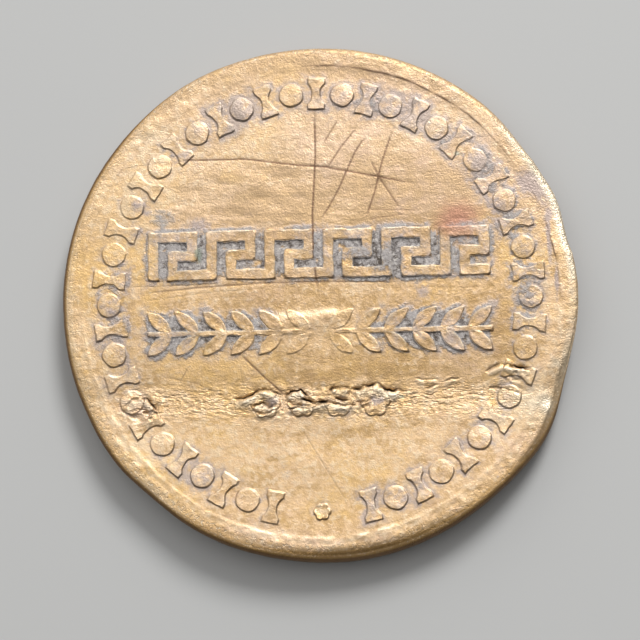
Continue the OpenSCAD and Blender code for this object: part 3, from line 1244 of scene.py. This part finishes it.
# Large places where the brass is more golden, or pinker where the last number is below zero
WARM = [
    (-9.0, 7.0, 3.0, 3.0, 0.8),
    (-1.6, 11.6, 1.8, 1.6, 1.0),
    (-11.6, 2.7, 2.4, 2.6, 1.0),
    (10.8, 3.0, 1.8, 1.6, 0.6),
    (-9.3, 2.2, 0.8, 1.0, 0.8),
    (-4.7, 6.8, 0.8, 0.3, 1.0),
    (9.6, -6.2, 1.2, 1.0, 0.5),
    (11.2, -1.2, 0.9, 0.9, 0.6),
    (-6.5, -3.6, 5.5, 1.8, 0.8),
    (-6.0, -8.0, 5.0, 2.2, 0.5),
    (-10.2, -9.3, 1.6, 2.0, 0.6),
    (10.6, -4.2, 1.5, 1.6, 0.6),
    (8.9, 4.2, 1.0, 0.8, 1.0),
    (4.5, 11.2, 3.0, 1.3, -1.0),
    (2.5, 8.5, 4.5, 1.8, -0.5),
    (5.0, 5.2, 3.0, 1.2, -0.4),
    (7.5, -2.0, 3.0, 2.0, -0.7),
    (9.0, -7.5, 3.0, 3.0, -0.4),
    (0.0, -13.0, 6.0, 0.8, -0.8),
]
# Places under a thin grey and violet film
STAINS = [
    (12.3, 5.6, 0.7, 2.4, 0.6),
    (12.8, 0.8, 0.13, 1.2, 1.0),
    (12.5, 3.0, 0.16, 1.4, 1.0),
    (11.4, 6.2, 0.8, 0.9, 1.1),
    (5.8, 0.3, 1.0, 0.5, 0.5),
    (2.8, 2.3, 1.8, 1.3, 0.5),
    (-1.0, 3.9, 1.5, 0.5, 0.4),
    (-6.4, 4.3, 1.2, 0.4, 0.6),
    (-9.6, 5.2, 0.7, 0.7, 0.6),
    (9.3, 4.9, 0.8, 1.1, 0.5),
    (-2.7, -5.5, 0.6, 0.4, 0.8),
    (3.0, -5.5, 0.5, 0.25, 1.0),
    (1.0, -5.6, 0.5, 0.5, 0.5),
    (-10.8, -0.5, 1.0, 2.0, 0.5),
    (-6.9, 7.9, 1.0, 1.2, 0.4),
]
# Small spots of verdigris
GREEN = [
    (4.35, -5.3, 0.2, 0.12, 1.0),
    (7.6, 7.9, 0.4, 0.25, 0.6),
    (-6.5, 2.6, 0.3, 0.6, 0.8),
    (-8.2, -1.3, 0.5, 0.4, 0.4),
]
print(f"{len(TONES) + len(WARM) + len(STAINS)} changes of the patina and {len(GREEN)} spots of verdigris")

# %% Masks of dirt
# Where the relief is worn away, nothing holds the dirt and no wall stands
holds = np.clip(3 * left, 0, 1)
stands = np.clip(2 * left, 0, 1)
down = turned_down(*xy)
dirt = crowding(*xy) * smooth(-0.06, 0.03, nearest) * (0.2 + ovals(*xy, DIRTY)) * (1 - 0.4 * on_ring(*xy))
dirt = np.maximum(dirt * holds, ovals(*xy, SMEARED))
# Painted shade at the feet of the walls, darkest where they face down the token, away from the lamp, with a
# little soot all round
foot = bell(nearest - 0.01, 0.035) * stands * (0.15 + 0.85 * down**2)
foot = foot * (1 - on_ring(*xy) * (0.15 + 0.3 * smooth(0, 8, xy[1])))
foot = foot * (1 - 0.75 * crushed(*xy))
halo = np.where(nearest > 0, np.exp(-nearest / 0.35), 0.5) * (0.55 + 0.75 * ovals(*xy, HAZY))
halo = halo * (0.3 + 0.7 * holds)
print(f"grime on {np.mean(dirt > 0.3):.0%} of the points, soot on {np.mean(foot > 0.3):.0%}")

# %% Masks of painted highlights and rubbed metal
# Where the painted highlight on the tops of the relief is weaker
DIMMER_HIGHLIGHT = [
    (-11.0, 2.0, 2.0, 7.0, 0.5),
    (-8.5, 8.0, 2.0, 2.0, 0.4),
    (1.5, 11.5, 2.2, 1.4, 0.5),
    (9.0, -7.0, 2.2, 2.2, 0.6),
    (10.5, -3.3, 1.2, 1.2, 0.5),
]
# Freshly rubbed spots near the edge and along the worn step, painted pale as highlights
RUBBED = [
    (12.1, -5.9, 0.35, 0.55, 1.0),
    (11.3, -5.7, 0.8, 0.8, 0.5),
    (12.8, -3.7, 0.4, 0.3, 0.7),
    (-1.5, -0.74, 0.9, 0.16, 0.4),
    (0.3, -0.62, 0.9, 0.15, 0.45),
]
# Where the corner of the edge is rubbed and painted as a thin bright highlight line: direction in degrees,
# and half-width
LINE_AT, LINE_HALF = 18, 4.5
# The line starts between these radii
LINE_FROM, LINE_FULL = 13.55, 13.64


def bright_edge(x, y):
    """Up to 1 along the right, where the crisp corner is rubbed and painted as a thin bright highlight
    line.
    """
    near = np.clip(1.3 * bell(along_edge(np.arctan2(y, x), LINE_AT), LINE_HALF), 0, 1)
    return near * np.minimum(0.3 + broken(x, y), 1)


# Painted highlight on the upper edges of the relief, which face the lamp
lit = bell(nearest + 0.05, 0.05) * stands * (1 - down) ** 2
lit = lit * (1 - np.minimum(ovals(*xy, DIMMER_HIGHLIGHT), 0.8))
# Painted highlight along the crest of the rim at the bottom and the lower left
crest = face_radius - rim_foot(*xy)
crest = 0.75 * bell(crest, 0.07) * broken(*xy) + 0.35 * bell(crest - 0.2, 0.16)
lit = np.maximum(lit, low_side(*xy) * crest)
# Rubbed metal, which the finish paints pale as a highlight as well as making it smoother
face_rub = np.maximum(knock_rub, ovals(*xy, RUBBED))
face_rub = np.maximum(face_rub, bright_edge(*xy) * smooth(LINE_FROM, LINE_FULL, face_radius))
print(f"lit crests on {np.mean(lit > 0.3):.0%} of the points, bare metal on {np.mean(face_rub > 0.3):.0%}")

# %% Masks of the rim, and all masks of the upper face
# Where the rim is browner: direction in degrees, and half-width
BROWN_AT, BROWN_HALF = -110, 15
# The radius from which the brown of the edge, patina and painted shade, shows on the face, and the
# direction of the side towards the lamp, where the painted shade is absent
BROWN_FROM, BRIGHT_SIDE = 13.42, 55


def shaded_side(x, y):
    """1 on the side of the token away from the lamp, where the edge's brown patina is painted darker as
    shade.
    """
    return smooth(-0.6, 0.0, -np.cos(np.arctan2(y, x) - math.radians(BRIGHT_SIDE)))


face_angle = np.arctan2(xy[1], xy[0])
on_rim = smooth(land_r - 0.05, land_r + 0.25, face_radius)
on_rim = on_rim * (0.3 + 0.7 * bell(along_edge(face_angle, BROWN_AT), BROWN_HALF))
# The edge's brown reaches onto the face: patina, with painted shade on the side away from the lamp and on
# the rolled-over slopes
brown = 0.2 * shaded_side(*xy) * smooth(BROWN_FROM, upper_corner_r, face_radius)
for direction, half, start, _ in ROLLED:
    near = bell(along_edge(face_angle, direction), half)
    brown = brown + 0.5 * near * smooth(start + 0.02, start + 0.24, face_radius)
face_masks = {
    "grime": dirt,
    "scratch": np.maximum(drawn, step_shade),
    "cut": dark,
    "foot": foot,
    "lit": lit,
    "lips": lips,
    "halo": halo,
    "tone": ovals(*xy, TONES),
    "warm": ovals(*xy, WARM),
    "stain": ovals(*xy, STAINS),
    "crumple": fold_band(*xy),
    "rim": on_rim,
    "top": smooth(0.0, -0.06, nearest),
    "green": ovals(*xy, GREEN),
    "edge": brown,
    "rub": face_rub,
}
print(f"{len(face_masks)} masks on the upper face")

# %% [markdown]
# The lower face and the edge
#
# The lower face isn't known, so it is plain: a field inside a raised rim, a little uneven, with dirt
# along the foot of the rim. The edge joins the two faces with rings of points over both round corners. A
# bevel modifier could round the corners too, but rings made here follow the knocks and bends of the rim
# from the start.

# %% Heights and masks of the lower face
BACK_UNEVEN = 0.012
back_at = back_xy.T
back_radius = np.hypot(*back_at)
back_z = rim_h * (1 - rim_rise(back_radius)) + BACK_UNEVEN * ripple(*back_at, 1.7, 6.2)
back_z = np.where(back_radius > land_r, np.maximum(back_z, 0), back_z)
back_points, back_rub = deform(*back_at, back_z)
back_masks = {
    "tone": 0.7 * ripple(*back_at, 5.0, 2.6),
    "warm": ripple(*back_at, 4.0, 7.8),
    "grime": bell(back_radius - field_r, 0.2) * (0.25 + 0.2 * ripple(*back_at, 2.5, 3.4)),
    "crumple": fold_band(*back_at),
    "rub": np.maximum(back_rub, 0.3 * smooth(land_r - 0.1, land_r + 0.1, back_radius)),
}
print(f"lower face lies between {back_points[:, 2].min():.2f} and {back_points[:, 2].max():.2f} mm")

# %% Rings of the edge
CORNER_STEPS, SIDE_STEPS = 7, 4
EDGE_UNEVEN = 0.012
# Where the upper corner is crisper, as the edge was rubbed there: direction, half-width, and how much
CRISP_AT, CRISP_HALF, CRISPER = 8, 7.0, 0.2
# The rings below the upper face that share its painted highlight line
BRIGHT_RINGS = 3


def corner(radius):
    """A quarter round from a face to the edge, as radii and drops below the face."""
    turns = np.radians(np.linspace(0, 90, CORNER_STEPS + 1)[1:])
    return [(disc_r - radius * (1 - math.sin(a)), radius * (1 - math.cos(a))) for a in turns]


ring_angles = np.arange(AROUND) * 2 * math.pi / AROUND
upper_round = upper_edge_r - CRISPER * bell(along_edge(ring_angles, CRISP_AT), CRISP_HALF)
section = [(r, top_z - drop) for r, drop in corner(upper_round)]
section += [(disc_r, z) for z in np.linspace(top_z - upper_edge_r, edge_r, SIDE_STEPS + 1)[1:-1]]
section += [(r, drop) for r, drop in reversed(corner(edge_r))]
edge_points, edge_rub = [], []
for number, (radius, z) in enumerate(section):
    uneven = EDGE_UNEVEN * ripple(np.cos(ring_angles) * 40, np.sin(ring_angles) * 40 + 3 * z, 2.0, 4.4)
    x, y = (radius + uneven) * np.cos(ring_angles), (radius + uneven) * np.sin(ring_angles)
    points, rub = deform(x, y, np.full(AROUND, z))
    edge_points.append(points)
    edge_rub.append(np.maximum(rub, bright_edge(x, y) * (number < BRIGHT_RINGS)))
print(f"edge: {len(section)} rings of {AROUND} points")

# %% [markdown]
# One closed mesh
#
# The two faces and the edge become one mesh whose outer rings are shared, so it is closed like the
# metal. The masks go along as attributes, one number for each point, which a material can read. A map
# for baking keeps the upper face, the lower face and the edge in three plain islands.

# %% Join the faces and the edge
first_edge = len(face_points)
first_back = first_edge + len(section) * AROUND
rings = [face_ring]
rings += [[first_edge + k * AROUND + i for i in range(AROUND)] for k in range(len(section))]
rings.append([first_back + i for i in back_ring])
edge_faces = [
    (upper[i], lower[i], lower[(i + 1) % AROUND], upper[(i + 1) % AROUND])
    for upper, lower in zip(rings, rings[1:])
    for i in range(AROUND)
]
back_faces = [tuple(first_back + i for i in reversed(tri)) for tri in back_tris]
all_points = np.concatenate([face_points, *edge_points, back_points]) * MM
mesh = bpy.data.meshes.new("token_struck")
mesh.from_pydata(all_points.tolist(), [], [tuple(t) for t in face_tris] + edge_faces + back_faces)
mesh.shade_smooth()
token = bpy.data.objects.new("token_struck", mesh)
bpy.context.scene.collection.objects.link(token)
print(f"{token.name}: {len(mesh.vertices)} points, {len(mesh.polygons)} faces")

# %% Masks for the finish
# The edge is brown with patina all round, and painted darker as shade further up on the side away from the
# lamp
kept = shaded_side(np.cos(ring_angles), np.sin(ring_angles))
edge_share = np.concatenate([smooth(0.16 - 0.18 * kept, 0.4 - 0.27 * kept, top_z - z) for _, z in section])
no_edge, no_back = np.zeros(len(section) * AROUND), np.zeros(len(back_points))
masks = {
    name: np.concatenate([values, no_edge, back_masks.get(name, no_back)])
    for name, values in face_masks.items()
}
masks["rub"] = np.concatenate([face_masks["rub"], *edge_rub, back_masks["rub"]])
masks["edge"] = np.concatenate([face_masks["edge"], edge_share, no_back])
masks["rim"] = np.concatenate([face_masks["rim"], np.ones(len(edge_share)), no_back])
for name, values in masks.items():
    mesh.attributes.new(name, "FLOAT", "POINT").data.foreach_set("value", values.astype(np.float32))
print("masks:", ", ".join(masks))

# %% A map for baking
# The middle and the half-width of the two round islands, then a corner and the size of the long one
FACE_SPOT, BACK_SPOT, EDGE_SPOT = (0.335, 0.665, 0.325), (0.835, 0.835, 0.155), (0.01, 0.05, 0.98, 0.2)
flat_u = np.concatenate([face_xy[:, 0], no_edge, back_xy[:, 0]]) / disc_r
flat_v = np.concatenate([face_xy[:, 1], no_edge, back_xy[:, 1]]) / disc_r
corners = np.zeros(len(mesh.loops), int)
mesh.loops.foreach_get("vertex_index", corners)
uv = np.zeros((len(corners), 2))
face_end = 3 * len(face_tris)
edge_end = face_end + 4 * len(edge_faces)
for start, end, spot in ((0, face_end, FACE_SPOT), (edge_end, len(corners), BACK_SPOT)):
    uv[start:end, 0] = spot[0] + spot[2] * flat_u[corners[start:end]]
    uv[start:end, 1] = spot[1] + spot[2] * flat_v[corners[start:end]]
quad = np.arange(len(edge_faces))
around, level = quad % AROUND, quad // AROUND
levels = len(rings) - 1
for k, (step_around, step_level) in enumerate(((0, 0), (0, 1), (1, 1), (1, 0))):
    uv[face_end + k : edge_end : 4, 0] = EDGE_SPOT[0] + EDGE_SPOT[2] * (around + step_around) / AROUND
    uv[face_end + k : edge_end : 4, 1] = EDGE_SPOT[1] + EDGE_SPOT[3] * (level + step_level) / levels
mesh.uv_layers.new(name="OFBake").data.foreach_set("uv", uv.astype(np.float32).ravel())
print("map for baking: three islands")

# %% [markdown]
# Writing shaders as sums
#
# A finish is a few formulas over the surface: more grime here, less shine there. Node by node that is
# slow to read, so one small class wraps an output and gives it Python's operators, and each operator
# adds a Math node. Every other node comes from one method.

# %% A value with Python's operators
class Value:
    """A number that varies over the surface."""

    def __init__(self, nodes, socket):
        self.nodes, self.socket = nodes, socket

    def math(self, operation, *values):
        """A Math node over this value and others."""
        return self.nodes.node("ShaderNodeMath", {"operation": operation}, dict(enumerate(values)))

    def __add__(self, other):
        return self.math("ADD", self, other)

    def __sub__(self, other):
        return self.math("SUBTRACT", self, other)

    def __rsub__(self, other):
        return self.math("SUBTRACT", other, self)

    def __mul__(self, other):
        return self.math("MULTIPLY", self, other)

    __radd__, __rmul__ = __add__, __mul__

    def __abs__(self):
        return self.math("ABSOLUTE", self)

    def ramp(self, low, high):
        """0 below low and 1 above high, with an easy S between them."""
        inputs = {"Value": self, "From Min": low, "From Max": high}
        return self.nodes.node("ShaderNodeMapRange", {"interpolation_type": "SMOOTHSTEP"}, inputs, "Result")


print("reflected operators:", ", ".join(name.strip("_") for name in vars(Value) if name.startswith("__r")))


# %% Every other node, from one method
class Nodes:
    """Adds nodes to a tree, all by one method."""

    def __init__(self, tree):
        self.tree = tree

    def node(self, kind, settings=None, inputs=None, output=0):
        """Adds a node, gives it its settings and inputs, and returns one of its outputs."""
        made = self.tree.nodes.new(kind)
        for name, setting in (settings or {}).items():
            setattr(made, name, setting)
        for name, value in (inputs or {}).items():
            self.give(made.inputs[name], value)
        return Value(self, made.outputs[output])

    def give(self, socket, value):
        """Links a value that varies, or sets a constant."""
        if isinstance(value, Value):
            self.tree.links.new(value.socket, socket)
        else:
            socket.default_value = value

    def mix(self, share, first, second):
        """A colour between two colours."""
        first = first if isinstance(first, Value) else (*first, 1)
        second = second if isinstance(second, Value) else (*second, 1)
        return self.node("ShaderNodeMix", {"data_type": "RGBA"}, {0: share, 6: first, 7: second}, 2)

    def noise(self, place, scale, detail=3.0, roughness=0.55):
        """Cloudy noise between 0 and 1."""
        inputs = {"Vector": place, "Scale": scale, "Detail": detail, "Roughness": roughness}
        return self.node("ShaderNodeTexNoise", None, inputs, "Fac")

    def mask(self, name):
        """A mask that the mesh carries."""
        return self.node("ShaderNodeAttribute", {"attribute_name": name}, None, "Fac")

    def stretch(self, place, factors):
        """A place multiplied along each axis, which draws noise out along the others."""
        return self.node("ShaderNodeVectorMath", {"operation": "MULTIPLY"}, {0: place, 1: factors})

    def away_from(self, place, middle):
        """Distance from a point."""
        return self.node("ShaderNodeVectorMath", {"operation": "DISTANCE"}, {0: place, 1: middle}, "Value")


def new_finish(name):
    """A material, its nodes and the sockets of its surface."""
    material = bpy.data.materials.new(name)
    material.use_nodes = True
    return material, Nodes(material.node_tree), material.node_tree.nodes["Principled BSDF"].inputs


print("node helpers:", ", ".join(name for name in vars(Nodes) if not name.startswith("_")))

# %% [markdown]
# Old brass
#
# Handled brass is tan where it is rubbed and browner where it isn't. A grey crust of grime sits in the
# corners of the relief, where no finger reaches, and it is dull and no longer metal. Near black painted
# shade lies in the tears and along the feet of the walls, with a little soot, and scratches are darkened
# with dirt and painted shade. Crests and the raised edges of the tears that face the lamp, and rubbed
# metal, get painted highlights, and the edge's brown patina is painted darker as shade on the side away
# from the lamp. A thin film lies about the motifs, and a few spots have gone green. The grain is a fine
# roughness of the die and of wear, drawn out sideways in the upper field. All of it is mixed from noise
# at a few scales and from the masks that the mesh carries, like coats of a thin glaze.

# %% Colours of old brass, in linear light
TAN, BROWN, GOLD = (0.84, 0.585, 0.34), (0.57, 0.365, 0.17), (0.84, 0.55, 0.225)
ROSE, FILM, PALE = (0.74, 0.53, 0.41), (0.76, 0.58, 0.44), (0.95, 0.83, 0.64)
GRIME, DARK_GRIME, PALE_GRIME = (0.50, 0.465, 0.45), (0.05, 0.045, 0.045), (0.92, 0.88, 0.80)
RED, RIM_BROWN, UMBER = (0.50, 0.25, 0.17), (0.64, 0.43, 0.20), (0.38, 0.24, 0.10)
EDGE_GOLD, EDGE_BROWN = (0.50, 0.29, 0.09), (0.15, 0.075, 0.025)
HALO, VIOLET, VERDIGRIS = (0.46, 0.385, 0.355), (0.46, 0.38, 0.36), (0.30, 0.36, 0.28)
# Near black for painted shade with a little soot, and a brown for dirt and painted shade in scratches
SOOT_AND_SHADE, SCRATCH_DIRT_AND_SHADE = (0.05, 0.031, 0.018), (0.14, 0.07, 0.045)
print("the bare metal lies between", BROWN, "and", TAN)

# %% Noise at several scales, from blotches to fine grain
brass, nodes, surface = new_finish("worn_brass")
place_m = nodes.node("ShaderNodeTexCoord", None, None, "Object")
spot = nodes.node("ShaderNodeVectorMath", {"operation": "SCALE"}, {0: place_m, "Scale": 1 / MM})
blotch = nodes.noise(spot, 0.3, 4.0)
cloud = nodes.noise(spot, 0.9, 5.0, 0.65)
patch = nodes.noise(spot, 1.9, 4.0, 0.6)
mottle = nodes.noise(spot, 2.6, 3.0, 0.6)
crumbs = nodes.noise(spot, 3.0, 5.0, 0.65)
grain = nodes.noise(spot, 4.0, 4.0, 0.75)
specks = nodes.noise(spot, 6.5, 2.0, 0.7)
fine = nodes.noise(spot, 11.0, 2.0, 0.6)
streak = nodes.noise(nodes.stretch(spot, (0.8, 2.6, 1.0)), 1.5, 5.0, 0.7)
waves = nodes.noise(nodes.stretch(spot, (0.35, 1.5, 1.0)), 1.0, 4.0, 0.6) - 0.5
creases = nodes.noise(nodes.stretch(spot, (2.2, 6.5, 1.0)), 1.0, 3.0, 0.6) - 0.5
# The upper field, with a ragged border: it is filmed over, and streaky below the ring
up_token = nodes.node("ShaderNodeSeparateXYZ", None, {0: spot}, "Y")
ragged_up = up_token + 3.0 * (blotch - 0.5)
filmed = ragged_up.ramp(2.0, 5.0)
streaky = filmed * ragged_up.ramp(9.0, 7.2)
print(f"noise takes {len(nodes.tree.nodes)} nodes")

# %% Masks with ragged borders
# The middle of a red spot in the upper field
RED_AT = (7.6, 4.25, 1.7)
tone, warm, dirt_mask = nodes.mask("tone"), nodes.mask("warm"), nodes.mask("grime")
rub_and_highlight, edge_mask, rim_mask = nodes.mask("rub"), nodes.mask("edge"), nodes.mask("rim")
grime_mask = (dirt_mask * 2.8 + (crumbs - 0.5) + (cloud - 0.5)).ramp(0.25, 0.8)
# Painted shade with a little soot at the feet of the walls, broken up by noise
foot_soot_and_shade = nodes.mask("foot") * (patch * 0.5 + crumbs * 0.5).ramp(0.40, 0.56)
# Near black over the tear cracks and the feet of the walls: painted shade, with a little soot
soot_and_shade = nodes.mask("cut") * 0.95 + foot_soot_and_shade * 0.9
rim_worn = rim_mask * (0.3 + (cloud - 0.5) * 1.5 + (crumbs - 0.5) * 1.5).ramp(0.0, 0.7)
flecks = rim_mask * rim_mask
haze = nodes.mask("halo") * (0.55 + (cloud - 0.5) * 2.2 + (crumbs - 0.5) * 1.6)
film = nodes.mask("stain") + (cloud - 0.5) * 1.6 + (crumbs - 0.5) * 1.6
from_red = nodes.away_from(spot, RED_AT) + (cloud - 0.5) * 1.6
green = (nodes.mask("green") + (crumbs - 0.5) * 0.8).ramp(0.3, 0.8)
print(f"with the masks it is {len(nodes.tree.nodes)} nodes")

# %% The metal's colour, coat by coat
# tone darkens the metal, as patina in some ovals and as painted shade in others, and paints light where it
# is below zero
streaked = tone * (0.16 + waves * 1.6)
metal = nodes.mix((cloud * 0.4 + mottle * 0.3 + grain * 0.3 - streaked).ramp(0.37, 0.60), BROWN, TAN)
hue = (patch - 0.5) * 0.45 + (blotch - 0.5) * 0.6 + warm * 0.2
# Each coat: how much of it shows, and its colour
coats = [
    (hue.ramp(0.0, -0.22) * 0.5, ROSE),
    (hue.ramp(0.0, 0.22) * 0.7, GOLD),
    (filmed * 0.3, FILM),
    (tone.ramp(0.8, 2.0) * 0.3, UMBER),
    ((mottle * 0.6 + grain * 0.4 - tone * 0.1).ramp(0.51, 0.66) * 0.32, PALE),
    (rim_worn * 0.7, RIM_BROWN),
    (flecks * crumbs.ramp(0.44, 0.36) * 0.6, BROWN),
    (flecks * specks.ramp(0.58, 0.66) * 0.7, PALE),
    (haze.ramp(0.1, 0.6) * 0.8, HALO),
    (film.ramp(0.2, 0.9) * 0.8, VIOLET),
    # Painted highlight on crests that face the lamp
    (nodes.mask("lit") * (crumbs + patch).ramp(0.8, 1.1) * 0.7, PALE),
    # Painted highlight on the raised lip of each tear, which faces the lamp
    (nodes.mask("lips") * 0.85, PALE),
    # Rubbed metal, painted pale as a highlight
    (rub_and_highlight * 0.85, PALE),
    (from_red.ramp(1.6, 0.4) * 0.85, RED),
    # The edge: brown patina, painted darker as shade on the side away from the lamp
    (edge_mask.ramp(0.0, 0.4) * 0.8, EDGE_GOLD),
    (edge_mask.ramp(0.2, 1.0) * (0.75 + 0.25 * cloud), EDGE_BROWN),
    # Scratches and the foot of the rim's fine step: dirt and painted shade in the scratches, painted shade
    # at the step
    (nodes.mask("scratch") * 0.85, SCRATCH_DIRT_AND_SHADE),
]
for share, colour in coats:
    metal = nodes.mix(share, metal, colour)
print(f"{len(coats)} coats over the bare metal")

# %% Grime, verdigris, and soot with painted shade
caked = crumbs * 0.45 + specks * 0.35 + cloud * 0.2 - dirt_mask * 0.08
grime_tone = nodes.mix(caked.ramp(0.335, 0.53), DARK_GRIME, GRIME)
grime_tone = nodes.mix(specks.ramp(0.58, 0.66) * 0.5, grime_tone, PALE_GRIME)
dirty = nodes.mix(grime_mask * 0.92, metal, grime_tone)
dirty = nodes.mix(green * 0.7, dirty, VERDIGRIS)
nodes.give(surface["Base Color"], nodes.mix(soot_and_shade, dirty, SOOT_AND_SHADE))
print(f"the colour takes {len(nodes.tree.nodes)} nodes")

# %% Shine and grain
GRAIN_DEEP = 0.03
roughness = 0.37 + 0.16 * cloud + 0.3 * grime_mask + 0.06 * rim_mask - 0.15 * rub_and_highlight
nodes.give(surface["Metallic"], 0.9 - 0.8 * grime_mask - 0.5 * edge_mask)
nodes.give(surface["Roughness"], roughness)
folded = abs(creases) * nodes.mask("crumple")
pitted = 0.6 * crumbs.ramp(0.36, 0.5) - 0.8 * specks.ramp(0.56, 0.64)
calm = 1 - 0.3 * up_token.ramp(-6.0, -7.5)
bump_height = calm * (0.9 * grain + 0.55 * fine + 0.5 * mottle) + rim_mask * pitted
bump_height = bump_height + streak * (0.05 + 0.48 * streaky)
bump_height = bump_height + nodes.mask("top") * (0.7 * crumbs + 0.5 * specks)
bump_height = bump_height + (0.4 + crumbs + fine) * grime_mask - 4.5 * folded
bump_inputs = {"Strength": 1.0, "Distance": GRAIN_DEEP * MM, "Height": bump_height}
nodes.give(surface["Normal"], nodes.node("ShaderNodeBump", None, bump_inputs, "Normal"))
mesh.materials.append(brass)
print(f"{brass.name}: {len(nodes.tree.nodes)} nodes")

# %% Put the finished token in the CAD node's place
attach(token, "root")
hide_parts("token")
print(f"{token.name} takes the place of the packed token")

# %% [markdown]
# Floor, light and camera
#
# The token lies on a plain pale floor. The light is a soft lamp beyond its upper edge, so that the upper
# walls of the relief catch it and the lower walls go dark, and a sky that is dim all round and brightens
# towards the upper left. The camera looks almost straight down and leans a little to the lower edge.

# %% Floor
# Half the floor's width in metres, and how far it lies below the frame's origin in millimetres
FLOOR_HALF, FLOOR_DOWN = 0.6, 0.02
FLOOR_GREY = (0.56, 0.56, 0.55, 1)
floor_mesh = bpy.data.meshes.new("floor")
floor_corners = [(-1, -1), (1, -1), (1, 1), (-1, 1)]
floor_points = [(FLOOR_HALF * x, FLOOR_HALF * y, -FLOOR_DOWN * MM) for x, y in floor_corners]
floor_mesh.from_pydata(floor_points, [], [(0, 1, 2, 3)])
floor = bpy.data.objects.new("floor", floor_mesh)
bpy.context.scene.collection.objects.link(floor)
paper, _, paper_surface = new_finish("pale_floor")
paper_surface["Base Color"].default_value = FLOOR_GREY
paper_surface["Roughness"].default_value = 0.9
floor_mesh.materials.append(paper)
print(f"floor {2 * FLOOR_HALF:.1f} m wide")

# %% Sky
SKY_FROM = Vector((-0.3, 0.68, 0.68)).normalized()
SKY_LOW, SKY_HIGH = 0.08, 0.9
world = bpy.data.worlds.new("studio")
bpy.context.scene.world = world
world.use_nodes = True
sky = Nodes(world.node_tree)
direction = sky.node("ShaderNodeTexCoord", None, None, "Generated")
dot = {"operation": "DOT_PRODUCT"}
towards = sky.node("ShaderNodeVectorMath", dot, {0: direction, 1: SKY_FROM}, "Value")
glow = world.node_tree.nodes["Background"].inputs
glow["Color"].default_value = (1, 1, 1, 1)
sky.give(glow["Strength"], SKY_LOW + (SKY_HIGH - SKY_LOW) * towards.ramp(0.05, 1.0))
print(f"sky from {SKY_LOW} to {SKY_HIGH}")

# %% Lamp
# Its direction, then its distance and size in metres, and its power in watts
LAMP_FROM = Vector((0.26, 0.72, 0.64)).normalized()
LAMP_REACH, LAMP_SIZE, LAMP_POWER = 0.42, 0.16, 1.3
lamp = bpy.data.lights.new("soft_lamp", "AREA")
lamp.shape = "DISK"
lamp.size = LAMP_SIZE
lamp.energy = LAMP_POWER
lamp_object = bpy.data.objects.new("soft_lamp", lamp)
lamp_object.location = LAMP_REACH * LAMP_FROM
lamp_object.rotation_euler = LAMP_FROM.to_track_quat("Z", "Y").to_euler()
bpy.context.scene.collection.objects.link(lamp_object)
print(f"one lamp, {LAMP_REACH} m away")

# %% Camera
LENS, SENSOR = 150.0, 36.0
# The width of the picture, and of the token in it, in pixels
IMAGE_PX, TOKEN_PX = 640, 518
# How far the view leans from straight down, the side from which it looks, and its turn about itself
TILT, TOWARDS, ROLL = math.radians(9), math.radians(-74), math.radians(-0.8)
AIM_Y = -0.96
aim = Vector((0.0, AIM_Y, disc_t / 2)) * MM
reach = 2 * disc_r * MM * LENS / SENSOR * IMAGE_PX / TOKEN_PX
back_axis = Vector((math.sin(TILT) * math.cos(TOWARDS), math.sin(TILT) * math.sin(TOWARDS), math.cos(TILT)))
right_axis = Vector((-math.sin(ROLL), math.cos(ROLL), 0)).cross(back_axis).normalized()
turned = Matrix((right_axis, back_axis.cross(right_axis), back_axis)).transposed().to_4x4()
camera_data = bpy.data.cameras.new("camera")
camera_data.lens = LENS
camera_data.sensor_width = SENSOR
camera_data.clip_start = 0.01
camera = bpy.data.objects.new("camera", camera_data)
camera.matrix_world = Matrix.Translation(aim + reach * back_axis) @ turned
bpy.context.scene.collection.objects.link(camera)
bpy.context.scene.camera = camera
bpy.context.scene.view_settings.view_transform = "Standard"
print(f"camera {reach / MM:.0f} mm away")
